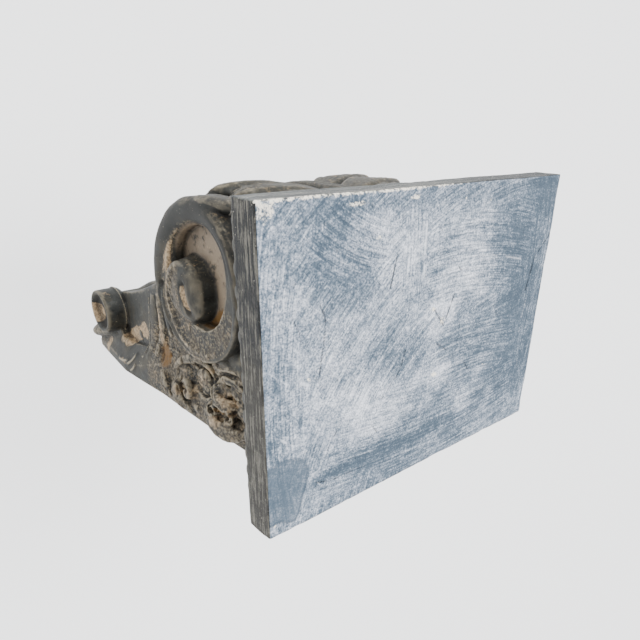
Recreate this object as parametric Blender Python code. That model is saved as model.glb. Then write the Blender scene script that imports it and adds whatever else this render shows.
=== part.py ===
# Scrolled corbel, one casting of painted plaster: an oblong slab on top, a band of small
# gadroons under it, and below that an S-shaped scroll with a large volute, a roll and leaves.
# Metres, +Z up. The flat back lies in the plane Y = 0 and the front looks along -Y.
# The origin is the middle of the place on the back where the corbel is fixed to a wall.
import math

import bpy
import numpy as np

for old in list(bpy.data.objects):
    bpy.data.objects.remove(old, do_unlink=True)

# Slab.
SLAB_WIDTH = 0.300
SLAB_DEPTH = 0.220
SLAB_THICKNESS = 0.0235
SLAB_ROUNDING = 0.0022
FIXING_DROP = 0.150          # from the slab's top down to the fixing point on the back

# Gadroon band under the slab.
BAND_HEIGHT = 0.018
BAND_INSET = 0.0035          # from the slab's edge to the crowns of the gadroons
GADROON_PITCH = 0.0110
GADROON_RELIEF = 0.0030
BAND_TAPER = 0.0045          # the band draws in this much towards its lower edge

# Scroll. It is a free form, so its proportions are shares of one length.
SCROLL_LENGTH = 0.220        # one share
SCROLL_FACE_WIDTH = 0.210    # over the flat faces of the two volutes
CHEEK_SINK = 0.0110          # the scroll's cheeks lie this far inside those faces
ROLL_WIDTH = 0.219           # over the two ends of the lower roll
RECESS_DEPTH = 0.0145        # the hollow of a volute, below its face
EYE_RISE = 0.0090            # a volute's eye stands this far above its face
EYE_RADIUS = 0.0205
ROLL_RADIUS = 0.0220
ROLL_RING_RADIUS = 0.0252    # the raised ring where the roll leaves the scroll's cheek
ROLL_RING_WIDTH = 0.0070
ROLL_DISH_RADIUS = 0.0155
ROLL_DISH_DEPTH = 0.0070
ROLL_LIP = 0.0025            # rounding of the roll's rim
EYE_DOME = 0.0045            # height of the eye's domed end
EYE_ROOT = 0.004             # the eye's post starts this far below the hollow's floor
HOLLOW_CLEARANCE = 0.010     # the tool that cuts a hollow stands this far proud of the face
VOLUTE_ROOT = 0.010          # the volute's plate starts this far inside the cheek

# Mesh sizes.
VOXEL = 0.0026
CARVING_TRIANGLES = 6600
WALL_OVERRUN = 0.006         # the raw carving runs past the wall plane, then is cut flat
BAND_OVERRUN = 0.003         # and so do the band and the slab, each to a plane of its own
SLAB_OVERRUN = 0.0045

slab_top = FIXING_DROP
slab_under = slab_top - SLAB_THICKNESS
face_x = SCROLL_FACE_WIDTH / 2
cheek_x = face_x - CHEEK_SINK
share = SCROLL_LENGTH

# Centres on the side view, as (down from the slab's underside, out from its front edge).
VOLUTE = (0.604, 0.352)
EYE = (0.695, 0.447)
ROLL = (1.628, 0.745)
OPENING_RADIUS = 0.198       # shares
ROLL_WRAP_RADIUS = 0.098     # shares, the strap that turns round the roll
VOLUTE_ROUNDING = 0.020      # shares, rounding of a volute's outer edge
OPENING_ROUNDING = 0.016     # shares, the same at the edge of its opening

# The scroll's outline on the side view, from the slab down the front and back up the wall.
FRONT_OF_SCROLL = [(-0.03, 0.100), (0.20, 0.104), (0.42, 0.110), (0.60, 0.116), (0.73, 0.148),
                   (0.83, 0.218), (0.895, 0.310), (0.955, 0.415), (1.03, 0.475), (1.115, 0.506),
                   (1.22, 0.562), (1.32, 0.603), (1.42, 0.632), (1.53, 0.648)]
UNDER_THE_ROLL = [(1.66, 0.875), (1.74, 0.890)]
WALL_FOOT = 1.78

# Bars on a volute's face: points (down, out, rise above the face), width and height in shares.
BANDS = [
    ([(0.42, 0.175, -0.02), (0.52, 0.128, 0.0), (0.61, 0.118, 0.004), (0.73, 0.155, 0.004),
      (0.835, 0.240, 0.004), (0.895, 0.340, 0.004), (0.925, 0.440, 0.002), (0.915, 0.535, 0.0),
      (0.86, 0.610, -0.002), (0.76, 0.664, -0.004), (0.64, 0.676, -0.004), (0.53, 0.650, -0.004),
      (0.43, 0.590, -0.006)], 0.050, 0.016),
    ([(0.46, 0.560, -0.010), (0.58, 0.600, -0.004), (0.70, 0.594, 0.004), (0.79, 0.548, 0.014),
      (0.815, 0.475, 0.022), (0.785, 0.405, 0.028), (0.725, 0.372, 0.030)], 0.085, 0.022),
]

# Lobes of the leaves on a cheek: points (down, out, rise above the cheek), width, height.
LOBES = [
    ([(0.98, 0.470, 0.02), (1.04, 0.560, 0.035), (1.06, 0.680, 0.035), (1.10, 0.790, 0.03),
      (1.17, 0.890, 0.02)], 0.060, 0.030),
    ([(1.05, 0.500, 0.0), (1.11, 0.600, 0.02), (1.13, 0.720, 0.02), (1.18, 0.840, 0.01)],
     0.050, 0.028),
    ([(0.96, 0.620, 0.0), (0.90, 0.720, 0.03), (0.82, 0.745, 0.035), (0.74, 0.730, 0.03),
      (0.70, 0.770, 0.01)], 0.055, 0.032),
    ([(0.62, 0.740, 0.01), (0.54, 0.745, 0.03), (0.44, 0.710, 0.03), (0.34, 0.650, 0.0)],
     0.060, 0.030),
    ([(0.80, 0.800, 0.01), (0.74, 0.815, 0.035), (0.69, 0.860, 0.035), (0.70, 0.920, 0.01)],
     0.090, 0.034),
    ([(0.93, 0.810, 0.0), (0.90, 0.870, 0.03), (0.86, 0.920, 0.03), (0.80, 0.960, 0.01)],
     0.085, 0.032),
    ([(0.60, 0.810, 0.0), (0.55, 0.840, 0.035), (0.48, 0.850, 0.035), (0.41, 0.820, 0.01)],
     0.090, 0.034),
    ([(0.62, 0.900, 0.0), (0.54, 0.930, 0.03), (0.44, 0.935, 0.03), (0.34, 0.900, 0.01)],
     0.085, 0.030),
    ([(0.36, 0.740, 0.0), (0.30, 0.780, 0.03), (0.24, 0.850, 0.03), (0.20, 0.930, 0.01)],
     0.080, 0.028),
    ([(1.04, 0.860, 0.0), (1.00, 0.910, 0.025), (0.94, 0.960, 0.02)], 0.075, 0.028),
    ([(1.20, 0.800, 0.0), (1.30, 0.845, 0.025), (1.40, 0.850, 0.025), (1.50, 0.830, 0.005)],
     0.060, 0.026),
    ([(1.16, 0.880, 0.0), (1.28, 0.915, 0.03), (1.40, 0.925, 0.03), (1.52, 0.905, 0.005)],
     0.070, 0.030),
    ([(1.16, 0.960, 0.0), (1.30, 0.985, 0.01), (1.46, 0.985, 0.01), (1.60, 0.955, 0.0)],
     0.070, 0.024),
]

# Leaf bed: down, half width at the wall and at the front (m), and how far out its front lies.
LEAF_BED = [(0.06, 0.096, 0.094, 0.760), (0.30, 0.098, 0.095, 0.760), (0.60, 0.101, 0.097, 0.780),
            (0.85, 0.102, 0.096, 0.760), (1.05, 0.102, 0.095, 0.760), (1.25, 0.105, 0.095, 0.830),
            (1.42, 0.107, 0.094, 0.865), (1.55, 0.104, 0.094, 0.868), (1.72, 0.100, 0.092, 0.868),
            (1.86, 0.096, 0.088, 0.905)]
TAIL_END = 1.945             # shares down to the tip of the tail's outer lobes
TAIL_TIP_SPREAD = 0.375      # shares from the middle to the axis of the outer lobe
TAIL_TIPS = 5
LEAF_PAIRS = 4               # pairs of lobes on the front leaf
LEAF_LIFTS = (0.020, 0.026, 0.028, 0.040)   # shares that each pair stands off the front


def side_point(down, out):
    """Point (y, z) of a place on the side view, given in shares of the scroll's length."""
    return np.stack([(np.asarray(out) - 1) * share, slab_under - np.asarray(down) * share], -1)


def smooth_curve(points, count):
    """A Catmull-Rom curve through the points, read at evenly spaced parameters."""
    points = np.asarray(points, float)
    padded = np.vstack([2 * points[0] - points[1], points, 2 * points[-1] - points[-2]])
    spans = len(padded) - 3
    t = np.linspace(0, spans, count)
    k = np.minimum(t.astype(int), spans - 1)
    f = (t - k)[:, None]
    a, b, c, d = (padded[k + i] for i in range(4))
    return 0.5 * (2 * b + (c - a) * f + (2 * a - 5 * b + 4 * c - d) * f**2
                  + (3 * b - 3 * c + d - a) * f**3)


def arc(centre, radius, start, end, count):
    """Points of a circular arc on the side view, angles in degrees, 0 down and 90 to the wall."""
    a = np.radians(np.linspace(start, end, count))
    return np.stack([centre[0] + radius * np.cos(a), centre[1] + radius * np.sin(a)], -1)


class Mesh:
    """Vertices and faces gathered from closed shapes."""

    def __init__(self):
        self.vertices, self.faces, self.count = [], [], 0

    def add(self, vertices, faces):
        self.vertices.append(np.asarray(vertices, float))
        self.faces.extend([tuple(int(i) + self.count for i in face) for face in faces])
        self.count += len(vertices)

    def object(self, name):
        data = bpy.data.meshes.new(name)
        data.from_pydata(np.vstack(self.vertices).tolist(), [], self.faces)
        data.update()
        made = bpy.data.objects.new(name, data)
        bpy.context.scene.collection.objects.link(made)
        return made


def loft(rings):
    """Closed shell over rings of equally many points, the first and last ring capped."""
    rings = np.asarray(rings)
    levels, around = rings.shape[:2]
    faces = [(k * around + i, k * around + (i + 1) % around,
              (k + 1) * around + (i + 1) % around, (k + 1) * around + i)
             for k in range(levels - 1) for i in range(around)]
    faces.append(tuple(range(around))[::-1])
    faces.append(tuple(range((levels - 1) * around, levels * around)))
    return rings.reshape(-1, 3), faces


def outward(vertices, faces):
    """Turns a closed shell's faces so that its volume is positive."""
    volume = 0.0
    for face in faces:
        a = vertices[face[0]]
        for i in range(1, len(face) - 1):
            volume += np.dot(a, np.cross(vertices[face[i]], vertices[face[i + 1]]))
    return faces if volume > 0 else [face[::-1] for face in faces]


def add_loft(mesh, rings):
    vertices, faces = loft(rings)
    mesh.add(vertices, outward(vertices, faces))


def add_prism(mesh, outline, x_from, x_to):
    """An outline on the side view carried straight across from one x to another."""
    flat = side_point(*np.asarray(outline).T)
    rings = [np.column_stack([np.full(len(flat), x), flat]) for x in (x_from, x_to)]
    add_loft(mesh, rings)


def add_turned(mesh, centre, profile, sides):
    """A profile of (x, radius) turned about the sideways axis through a side-view centre."""
    y, z = side_point(*centre)
    a = np.linspace(0, 2 * math.pi, sides, endpoint=False)
    rings = [np.column_stack([np.full(sides, x), y + r * np.cos(a), z + r * np.sin(a)])
             for x, r in profile]
    add_loft(mesh, rings)


def add_sweep(mesh, path, normal, half_width, half_height, around=10):
    """A rounded bar along a path; its section is an ellipse set by width and height."""
    tangent = np.gradient(path, axis=0)
    tangent /= np.linalg.norm(tangent, axis=1)[:, None]
    across = np.cross(tangent, normal)
    across /= np.linalg.norm(across, axis=1)[:, None]
    up = np.cross(across, tangent)
    a = np.linspace(0, 2 * math.pi, around, endpoint=False)
    rings = (path[:, None] + across[:, None] * (np.cos(a)[None, :, None] * half_width[:, None, None])
             + up[:, None] * (np.sin(a)[None, :, None] * half_height[:, None, None]))
    add_loft(mesh, rings)


def leaf_taper(t, fullest=0.45, root=0.55, tip=0.12):
    """Width along a lobe: root share at 0, full at the fullest place, tip share at 1."""
    rising = root + (1 - root) * np.sin(np.clip(t / fullest, 0, 1) * math.pi / 2)
    falling = tip + (1 - tip) * np.cos(np.clip((t - fullest) / (1 - fullest), 0, 1) * math.pi / 2)
    return np.where(t < fullest, rising, falling)


def cheek_at(down, out):
    """Half width of the scroll at a place on its side: the flat cheek, or the leaf bed on it."""
    station, wall_x, front_x, front_out = np.transpose(LEAF_BED)
    edge_out = np.interp(down, station, front_out)
    to_wall = np.clip((out - edge_out) / (0.97 - edge_out), 0, 1)
    bed = np.interp(down, station, front_x) * (1 - to_wall) + np.interp(down, station, wall_x) * to_wall
    return np.where(out < edge_out, cheek_x, np.maximum(bed, cheek_x))


def side_path(points, side, count):
    """Points (down, out, rise) on a cheek; rise is in shares above the cheek."""
    curve = smooth_curve(points, count)
    yz = side_point(curve[:, 0], curve[:, 1])
    x = cheek_at(curve[:, 0], curve[:, 1]) + curve[:, 2] * share
    return np.column_stack([side * x, yz])


def add_side_bar(mesh, side, points, width, height, count=12, taper=None):
    """A bar or leaf lobe on a cheek, its width and height in shares."""
    path = side_path(points, side, count)
    t = np.linspace(0, 1, count)
    shape = np.ones(count) if taper is None else leaf_taper(t, *taper)
    normal = np.array([side, 0.0, 0.0])
    add_sweep(mesh, path, normal, width / 2 * share * shape, height * share * shape**0.5)


def scroll_outline():
    """Closed outline of the scroll: front curve, turn of the roll, foot and straight back."""
    front = smooth_curve(FRONT_OF_SCROLL, 34)
    turn = arc(ROLL, ROLL_WRAP_RADIUS, -68, 78, 12)
    back = 1 + WALL_OVERRUN / share
    foot = [(WALL_FOOT, back), (-0.03, back)]
    return np.vstack([front, turn, UNDER_THE_ROLL, foot])


def add_annulus(mesh, rings):
    """Closed ring-shaped shell: the rings joined in order and the last back to the first."""
    rings = np.asarray(rings)
    levels, around = rings.shape[:2]
    faces = [(k * around + i, k * around + (i + 1) % around,
              (k + 1) % levels * around + (i + 1) % around, (k + 1) % levels * around + i)
             for k in range(levels) for i in range(around)]
    vertices = rings.reshape(-1, 3)
    mesh.add(vertices, outward(vertices, faces))


def volute_edge(angle):
    """Radius, in shares, of a volute's outer edge; angle in degrees, 0 down, 90 to the wall.

    It is a spiral that opens from above the slab end of the volute round the front and below.
    """
    stations = [-180, -120, -90, -60, -30, 0, 30, 60, 90, 120, 150, 180]
    radii = [0.272, 0.270, 0.268, 0.272, 0.300, 0.352, 0.358, 0.345, 0.332, 0.318, 0.296, 0.272]
    return np.interp(angle, stations, radii)


def add_volute(mesh, side):
    """The spiral of one side: a plate with a round opening, its raised band and the arm."""
    angle = np.arange(-180, 180, 7.5)
    reach = volute_edge(angle)
    sunk = side * (cheek_x - VOLUTE_ROOT)

    def ring(x, radius):
        a = np.radians(angle)
        yz = side_point(VOLUTE[0] + radius * np.cos(a), VOLUTE[1] + radius * np.sin(a))
        return np.column_stack([np.full(len(a), x), yz])

    plate = [ring(sunk, reach), ring(side * (face_x - VOLUTE_ROUNDING * share), reach),
             ring(side * (face_x - 0.3 * VOLUTE_ROUNDING * share), reach - 0.3 * VOLUTE_ROUNDING),
             ring(side * face_x, reach - VOLUTE_ROUNDING)]
    opening = np.full(len(angle), OPENING_RADIUS)
    lip = [ring(side * face_x, opening + OPENING_ROUNDING),
           ring(side * (face_x - OPENING_ROUNDING * share), opening), ring(sunk, opening)]
    add_annulus(mesh, plate + lip)
    for points, width, height in BANDS:
        raised = [(d, o, r + CHEEK_SINK / share) for d, o, r in points]
        add_side_bar(mesh, side, raised, width, height, count=26)


def front_place(down, x):
    """Point and outward direction on the front of the scroll, by distance down and x."""
    curve = smooth_curve(FRONT_OF_SCROLL, 400)
    out = np.interp(down, curve[:, 0], curve[:, 1])
    slope = np.gradient(curve[:, 1], curve[:, 0])
    lean = np.interp(down, curve[:, 0], slope)
    yz = side_point(down, out)
    normal = np.stack([np.zeros_like(lean), -np.ones_like(lean), -lean], -1)
    normal /= np.linalg.norm(normal, axis=-1)[:, None]
    return np.column_stack([np.broadcast_to(x, np.shape(down)), yz]), normal


def add_front_lobe(mesh, points, width, height, count=12, taper=(0.45, 0.55, 0.12)):
    """A lobe on the front: points (down, x in shares, lift), width and height in shares."""
    curve = smooth_curve(points, count)
    place, normal = front_place(curve[:, 0], curve[:, 1] * share)
    path = place + normal * curve[:, 2:3] * share
    shape = leaf_taper(np.linspace(0, 1, count), *taper)
    add_sweep(mesh, path, normal, width / 2 * share * shape, height * share * shape**0.5)


def add_front_leaf(mesh):
    """Acanthus leaf down the front: a stem and pairs of lobes that curl out and down."""
    stem = [(0.08, 0.0, 0.01), (0.35, 0.0, 0.030), (0.62, 0.0, 0.034), (0.80, 0.0, 0.030),
            (0.93, 0.0, 0.045)]
    add_front_lobe(mesh, stem, 0.090, 0.036, 16, (0.35, 0.7, 0.35))
    neck_leaf = [(1.00, 0.0, 0.0), (1.16, 0.0, 0.022), (1.34, 0.0, 0.022), (1.52, 0.0, 0.004)]
    add_front_lobe(mesh, neck_leaf, 0.190, 0.030, 14)
    for k in range(LEAF_PAIRS):
        start = 0.06 + 0.175 * k
        spread = 0.380 - 0.030 * k
        lift = LEAF_LIFTS[k]
        for side in (-1, 1):
            points = [(start, side * 0.02, 0.010), (start + 0.06, side * spread * 0.45, lift),
                      (start + 0.14, side * spread * 0.85, lift),
                      (start + 0.23, side * spread, 0.6 * lift)]
            add_front_lobe(mesh, points, 0.140, 0.036)


def add_leaf_bed(mesh):
    """Bed that the side leaves lie on: it widens to the wall and runs down into the tail."""
    rings = []
    for down, wall_x, front_x, front_out in LEAF_BED:
        edge = min(0.94, front_out + 0.06)
        half = [(front_x, front_out), (wall_x - 0.004, edge), (wall_x, edge + 0.03),
                (wall_x, 1 + WALL_OVERRUN / share)]
        section = half + [(-x, out) for x, out in half[::-1]]
        rings.append([(x, *side_point(down, out)) for x, out in section])
    add_loft(mesh, rings)


def add_tail_tips(mesh):
    """Pointed lobes that the tail ends in, lying on the bed with their tips past its end."""
    for k in range(TAIL_TIPS):
        x = (k / (TAIL_TIPS - 1) - 0.5) * 2 * TAIL_TIP_SPREAD
        reach = TAIL_END - 0.05 * (k % 2)
        points = [(1.52, x * 0.8, 0.880), (1.70, x * 0.95, 0.880), (reach - 0.06, x, 0.925),
                  (reach, x, 0.950)]
        curve = smooth_curve(points, 12)
        path = np.column_stack([curve[:, 1] * share, side_point(curve[:, 0], curve[:, 2])])
        shape = leaf_taper(np.linspace(0, 1, 12), 0.5, 0.8, 0.3)
        add_sweep(mesh, path, np.array([0.0, -1.0, 0.0]), 0.100 * share * shape,
                  0.045 * share * shape**0.5)


def add_eye(mesh, side):
    """The eye of a volute: a round post from the floor of the hollow with a domed end."""
    base = side * (face_x - RECESS_DEPTH - EYE_ROOT)
    top = face_x + EYE_RISE
    dome = [(side * (top - EYE_DOME), 1.0), (side * (top - 0.27 * EYE_DOME), 0.86),
            (side * top, 0.5)]
    profile = [(base, 1.08 * EYE_RADIUS)] + [(x, r * EYE_RADIUS) for x, r in dome]
    add_turned(mesh, EYE, profile, 24)


def add_roll(mesh):
    """The lower roll: a bar across the corbel with a dished end on each side."""
    end = ROLL_WIDTH / 2
    half = [(end - ROLL_DISH_DEPTH, 0.3 * ROLL_DISH_RADIUS),
            (end - ROLL_DISH_DEPTH, 0.8 * ROLL_DISH_RADIUS),
            (end - 0.3 * ROLL_DISH_DEPTH, ROLL_DISH_RADIUS), (end, ROLL_DISH_RADIUS + ROLL_LIP),
            (end - ROLL_LIP, ROLL_RADIUS), (cheek_x + ROLL_RING_WIDTH / 2, ROLL_RADIUS),
            (cheek_x + 0.2 * ROLL_RING_WIDTH, ROLL_RING_RADIUS),
            (cheek_x - 0.2 * ROLL_RING_WIDTH, ROLL_RING_RADIUS),
            (cheek_x - ROLL_RING_WIDTH / 2, ROLL_RADIUS)]
    profile = [(-x, r) for x, r in half] + half[::-1]
    add_turned(mesh, ROLL, profile, 28)


def raw_carving():
    """The scroll with its cheeks, volutes, leaves and roll as overlapping closed shapes."""
    core = Mesh()
    add_prism(core, scroll_outline(), -cheek_x, cheek_x)
    block = core.object("scroll_block")
    for side in (-1, 1):
        hollow = Mesh()
        floor_x = side * (face_x - RECESS_DEPTH)
        add_turned(hollow, VOLUTE, [(floor_x, OPENING_RADIUS * share),
                                    (side * (face_x + HOLLOW_CLEARANCE), OPENING_RADIUS * share)],
                   40)
        cutter = hollow.object(f"hollow_{'right' if side > 0 else 'left'}")
        cutter.hide_render = True
        cutter.display_type = "WIRE"
        cut = block.modifiers.new("Hollow", "BOOLEAN")
        cut.operation = "DIFFERENCE"
        cut.object = cutter
    bpy.context.view_layer.update()
    evaluated = block.evaluated_get(bpy.context.evaluated_depsgraph_get()).to_mesh()
    carving = Mesh()
    carving.add([v.co[:] for v in evaluated.vertices], [tuple(p.vertices) for p in evaluated.polygons])
    bpy.data.objects.remove(block, do_unlink=True)
    for side in (-1, 1):
        add_volute(carving, side)
        add_eye(carving, side)
        for points, width, height in LOBES:
            add_side_bar(carving, side, points, width, height, taper=(0.45, 0.6, 0.25))
    add_roll(carving)
    add_front_leaf(carving)
    add_leaf_bed(carving)
    add_tail_tips(carving)
    return carving.object("corbel")


def gadroon_ring(inset, relief, z):
    """One level of the band: round the front and both sides, scalloped, straight at the wall."""
    points = []
    for way, across, length in ((0, 1, SLAB_DEPTH), (1, 0, SLAB_WIDTH), (2, 1, SLAB_DEPTH)):
        count = max(1, round(length / GADROON_PITCH))
        for k in range(count):
            for part, sunk in ((0.0, 1.0), (0.22, 0.2), (0.5, 0.0), (0.78, 0.2)):
                points.append((way, (k + part) / count, inset + sunk * relief))
    half = SLAB_WIDTH / 2
    flat = []
    for way, along, depth in points:
        if way == 0:
            flat.append((half - depth, BAND_OVERRUN - along * (SLAB_DEPTH + BAND_OVERRUN - inset)))
        elif way == 1:
            flat.append(((half - inset) * (1 - 2 * along), -SLAB_DEPTH + depth))
        else:
            flat.append((-half + depth, BAND_OVERRUN - (1 - along) * (SLAB_DEPTH + BAND_OVERRUN - inset)))
    flat.append((-half + inset + relief, BAND_OVERRUN))
    return np.column_stack([np.array(flat), np.full(len(flat), z)])


def gadroon_band():
    """The band: a small flat under the slab, swelling gadroons, and a narrower lower edge."""
    low = slab_under - BAND_HEIGHT
    levels = [(BAND_INSET + BAND_TAPER, 0.0, low),
              (BAND_INSET, GADROON_RELIEF, low + 0.45 * BAND_HEIGHT),
              (BAND_INSET + 0.001, GADROON_RELIEF, low + 0.80 * BAND_HEIGHT),
              (BAND_INSET + 0.002, 0.6 * GADROON_RELIEF, slab_under + 0.002)]
    band = Mesh()
    add_loft(band, [gadroon_ring(*level) for level in levels])
    return band.object("gadroon_band")


def box(name, low, high):
    """A plain box between two corners."""
    made = Mesh()
    x0, y0, z0 = low
    x1, y1, z1 = high
    rings = [[(x0, y0, z), (x1, y0, z), (x1, y1, z), (x0, y1, z)] for z in (z0, z1)]
    add_loft(made, rings)
    return made.object(name)


def painted_plaster():
    """Dark blue-grey paint on cast plaster, dull."""
    material = bpy.data.materials.new("painted_plaster")
    material.use_nodes = True
    shader = material.node_tree.nodes["Principled BSDF"]
    shader.inputs["Base Color"].default_value = (0.12, 0.13, 0.14, 1.0)
    shader.inputs["Roughness"].default_value = 0.75
    shader.inputs["Metallic"].default_value = 0.0
    return material


def combine(target, tool, operation):
    """Adds a Boolean of the tool object, which stays as a hidden guide."""
    tool.hide_render = True
    tool.display_type = "WIRE"
    modifier = target.modifiers.new(operation.title(), "BOOLEAN")
    modifier.operation = operation
    modifier.solver = "MANIFOLD"
    modifier.object = tool


def make_corbel():
    """Fuses the carving into one skin, thins it, cuts the back flat and adds band and slab."""
    corbel = raw_carving()
    fuse = corbel.modifiers.new("Fuse", "REMESH")
    fuse.mode = "VOXEL"
    fuse.voxel_size = VOXEL
    bpy.context.view_layer.update()
    dense = corbel.evaluated_get(bpy.context.evaluated_depsgraph_get()).to_mesh()
    triangles = sum(len(p.vertices) - 2 for p in dense.polygons)
    thin = corbel.modifiers.new("Thin", "DECIMATE")
    thin.ratio = min(1.0, CARVING_TRIANGLES / triangles)
    combine(corbel, gadroon_band(), "UNION")
    slab = box("slab", (-SLAB_WIDTH / 2, -SLAB_DEPTH, slab_under),
               (SLAB_WIDTH / 2, SLAB_OVERRUN, slab_top))
    rounded = slab.modifiers.new("Worn edge", "BEVEL")
    rounded.width = SLAB_ROUNDING
    rounded.segments = 2
    combine(corbel, slab, "UNION")
    far = 1.0
    combine(corbel, box("wall", (-far, 0.0, -far), (far, far, far)), "DIFFERENCE")
    corbel.data.materials.append(painted_plaster())
    return corbel


make_corbel()
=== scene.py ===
# Looks of a scrolled corbel: one casting of plaster under old blue-grey paint, worn and dusty.
# Metres, +Z up, the flat back in the plane Y = 0 and the front towards -Y, as in the frame.
import math

import bmesh
import bpy
import numpy as np
from mathutils import Matrix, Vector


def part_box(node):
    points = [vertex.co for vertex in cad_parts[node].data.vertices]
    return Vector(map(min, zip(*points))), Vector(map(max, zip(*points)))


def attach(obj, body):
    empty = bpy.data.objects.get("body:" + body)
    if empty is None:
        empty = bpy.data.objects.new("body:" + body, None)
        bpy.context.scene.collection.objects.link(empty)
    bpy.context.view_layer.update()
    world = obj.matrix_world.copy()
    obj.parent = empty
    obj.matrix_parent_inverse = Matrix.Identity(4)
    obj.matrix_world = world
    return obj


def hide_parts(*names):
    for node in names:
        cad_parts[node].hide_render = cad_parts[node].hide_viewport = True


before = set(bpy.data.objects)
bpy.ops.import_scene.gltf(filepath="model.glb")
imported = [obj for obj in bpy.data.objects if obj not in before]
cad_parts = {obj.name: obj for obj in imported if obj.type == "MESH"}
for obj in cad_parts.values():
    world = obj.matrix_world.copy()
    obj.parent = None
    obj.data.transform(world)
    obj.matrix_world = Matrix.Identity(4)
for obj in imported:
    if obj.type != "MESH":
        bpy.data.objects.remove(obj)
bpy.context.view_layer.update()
low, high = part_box("corbel")
print("frame loaded")

slabThickness = 0.0235
slabUnder = high.z - slabThickness
unit = high.y - low.y             # one share: the slab's depth, which the scroll's shapes follow
faceX = 0.105                     # half width over the flat faces of the volutes
cheekX = 0.094                    # half width over the scroll's cheeks
voluteCentre = np.array([0.604, 0.352])     # these three down and out on the side view, in shares
eyeCentre = np.array([0.708, 0.434])
rollCentre = np.array([1.628, 0.745])
openingRadius = 0.209             # of the hollow in each volute, a share


# Value noise: a random number at each corner of a cubic lattice, blended with a smooth step.
def latticeNoise(points, size, seed):
    cells = np.floor(points / size).astype(np.int64)
    part = points / size - cells
    part = part * part * (3 - 2 * part)
    total = np.zeros(len(points))
    for corner in range(8):
        step = np.array([corner & 1, corner >> 1 & 1, corner >> 2])
        key = (cells + step) @ np.array([73856093, 19349663, 83492791]) + seed * 26544357
        key = (key ^ (key >> 13)) * 1274126177
        share = ((key ^ (key >> 16)) & 0xFFFF) / 32767.5 - 1
        total += share * np.prod(np.where(step, part, 1 - part), axis=1)
    return total


# Sum of noises, each half the size and 0.55 the strength of the one before.
def roughNoise(points, size, octaves, seed):
    layers = [0.55**k * latticeNoise(points, size / 2**k, seed + k) for k in range(octaves)]
    return sum(layers)


def smoothStep(start, end, value):     # 0 before the start, 1 past the end, an S-curve between
    t = np.clip((value - start) / (end - start), 0, 1)
    return t * t * (3 - 2 * t)


def bell(distance, width):             # 1 at no distance, 1/e at the width, falling to nothing
    return np.exp(-((distance / width) ** 2))


# Smooth curve through the given points: each of its points is a cubic blend of the four nearest.
def smoothCurve(points, count):
    points = np.asarray(points, float)
    padded = np.vstack([2 * points[0] - points[1], points, 2 * points[-1] - points[-2]])
    t = np.linspace(0, len(points) - 1, count)
    k = np.minimum(t.astype(int), len(points) - 2)
    f = (t - k)[:, None]
    a, b, c, d = (padded[k + i] for i in range(4))
    return 0.5 * (2 * b + (c - a) * f + (2 * a - 5 * b + 4 * c - d) * f**2
                  + (3 * b - 3 * c + d - a) * f**3)


# Side view: down from the slab's underside and out from its front edge, both in shares.
def sidePoint(down, out):
    return np.stack([(np.asarray(out) - 1) * unit, slabUnder - np.asarray(down) * unit], -1)


def sideShares(points):                # the same the other way: (down, out) of points in metres
    return np.stack([(slabUnder - points[:, 2]) / unit, points[:, 1] / unit + 1], -1)


# Faces of a grid of rings, each joined to the next; the ends are capped, or joined to each other.
def gridFaces(levels, around, closed):
    k, i = np.meshgrid(np.arange(levels if closed else levels - 1), np.arange(around), indexing="ij")
    after, beside = (k + 1) % levels, (i + 1) % around
    quads = np.stack([k * around + i, k * around + beside, after * around + beside,
                      after * around + i], -1).reshape(-1, 4).tolist()
    if not closed:
        quads += [list(range(around))[::-1], list(range((levels - 1) * around, levels * around))]
    return quads


# A closed shell over rings; its faces are turned so that the volume they enclose is positive.
def shellOf(rings, closed=False):
    rings = np.asarray(rings, float)
    faces = gridFaces(rings.shape[0], rings.shape[1], closed)
    vertices = rings.reshape(-1, 3)
    quads = np.array([face for face in faces if len(face) == 4])
    middle = vertices.mean(0)
    a, b, c, d = (vertices[quads[:, i]] - middle for i in range(4))
    volume = np.einsum("ij,ij->", a, np.cross(b, c)) + np.einsum("ij,ij->", a, np.cross(c, d))
    return vertices, faces if volume > 0 else [face[::-1] for face in faces]


# One object from several shells: their vertices follow one another, and each shell's faces count
# on from the last vertex of the one before.
def meshObject(name, shells):
    vertices, faces, count = [], [], 0
    for shellVertices, shellFaces in shells:
        vertices.append(shellVertices)
        faces += [[index + count for index in face] for face in shellFaces]
        count += len(shellVertices)
    data = bpy.data.meshes.new(name)
    data.from_pydata(np.vstack(vertices).tolist(), [], faces)
    made = bpy.data.objects.new(name, data)
    bpy.context.scene.collection.objects.link(made)
    return made


def readVertices(mesh, kind="co"):
    values = np.empty(len(mesh.vertices) * 3, np.float32)
    source = mesh.vertices if kind == "co" else mesh.vertex_normals
    source.foreach_get(kind, values)
    return values.reshape(-1, 3).astype(float)


def writeVertices(mesh, points):
    mesh.vertices.foreach_set("co", points.astype(np.float32).ravel())
    mesh.update()


def applyModifiers(made):              # the evaluated mesh takes the place of the object's own
    graph = bpy.context.evaluated_depsgraph_get()
    baked = bpy.data.meshes.new_from_object(made.evaluated_get(graph))
    made.modifiers.clear()
    made.data = baked
    return made


# Turned shape: for each (x, r) of the profile a circle of radius r round a sideways axis.
def turnedShell(centre, profile, sides):
    x, r = np.asarray(profile).T
    a = np.linspace(0, 2 * math.pi, sides, endpoint=False)
    y, z = sidePoint(*centre)
    rings = np.stack([np.broadcast_to(x[:, None], (len(x), sides)), y + r[:, None] * np.cos(a),
                      z + r[:, None] * np.sin(a)], -1)
    return shellOf(rings)


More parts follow.
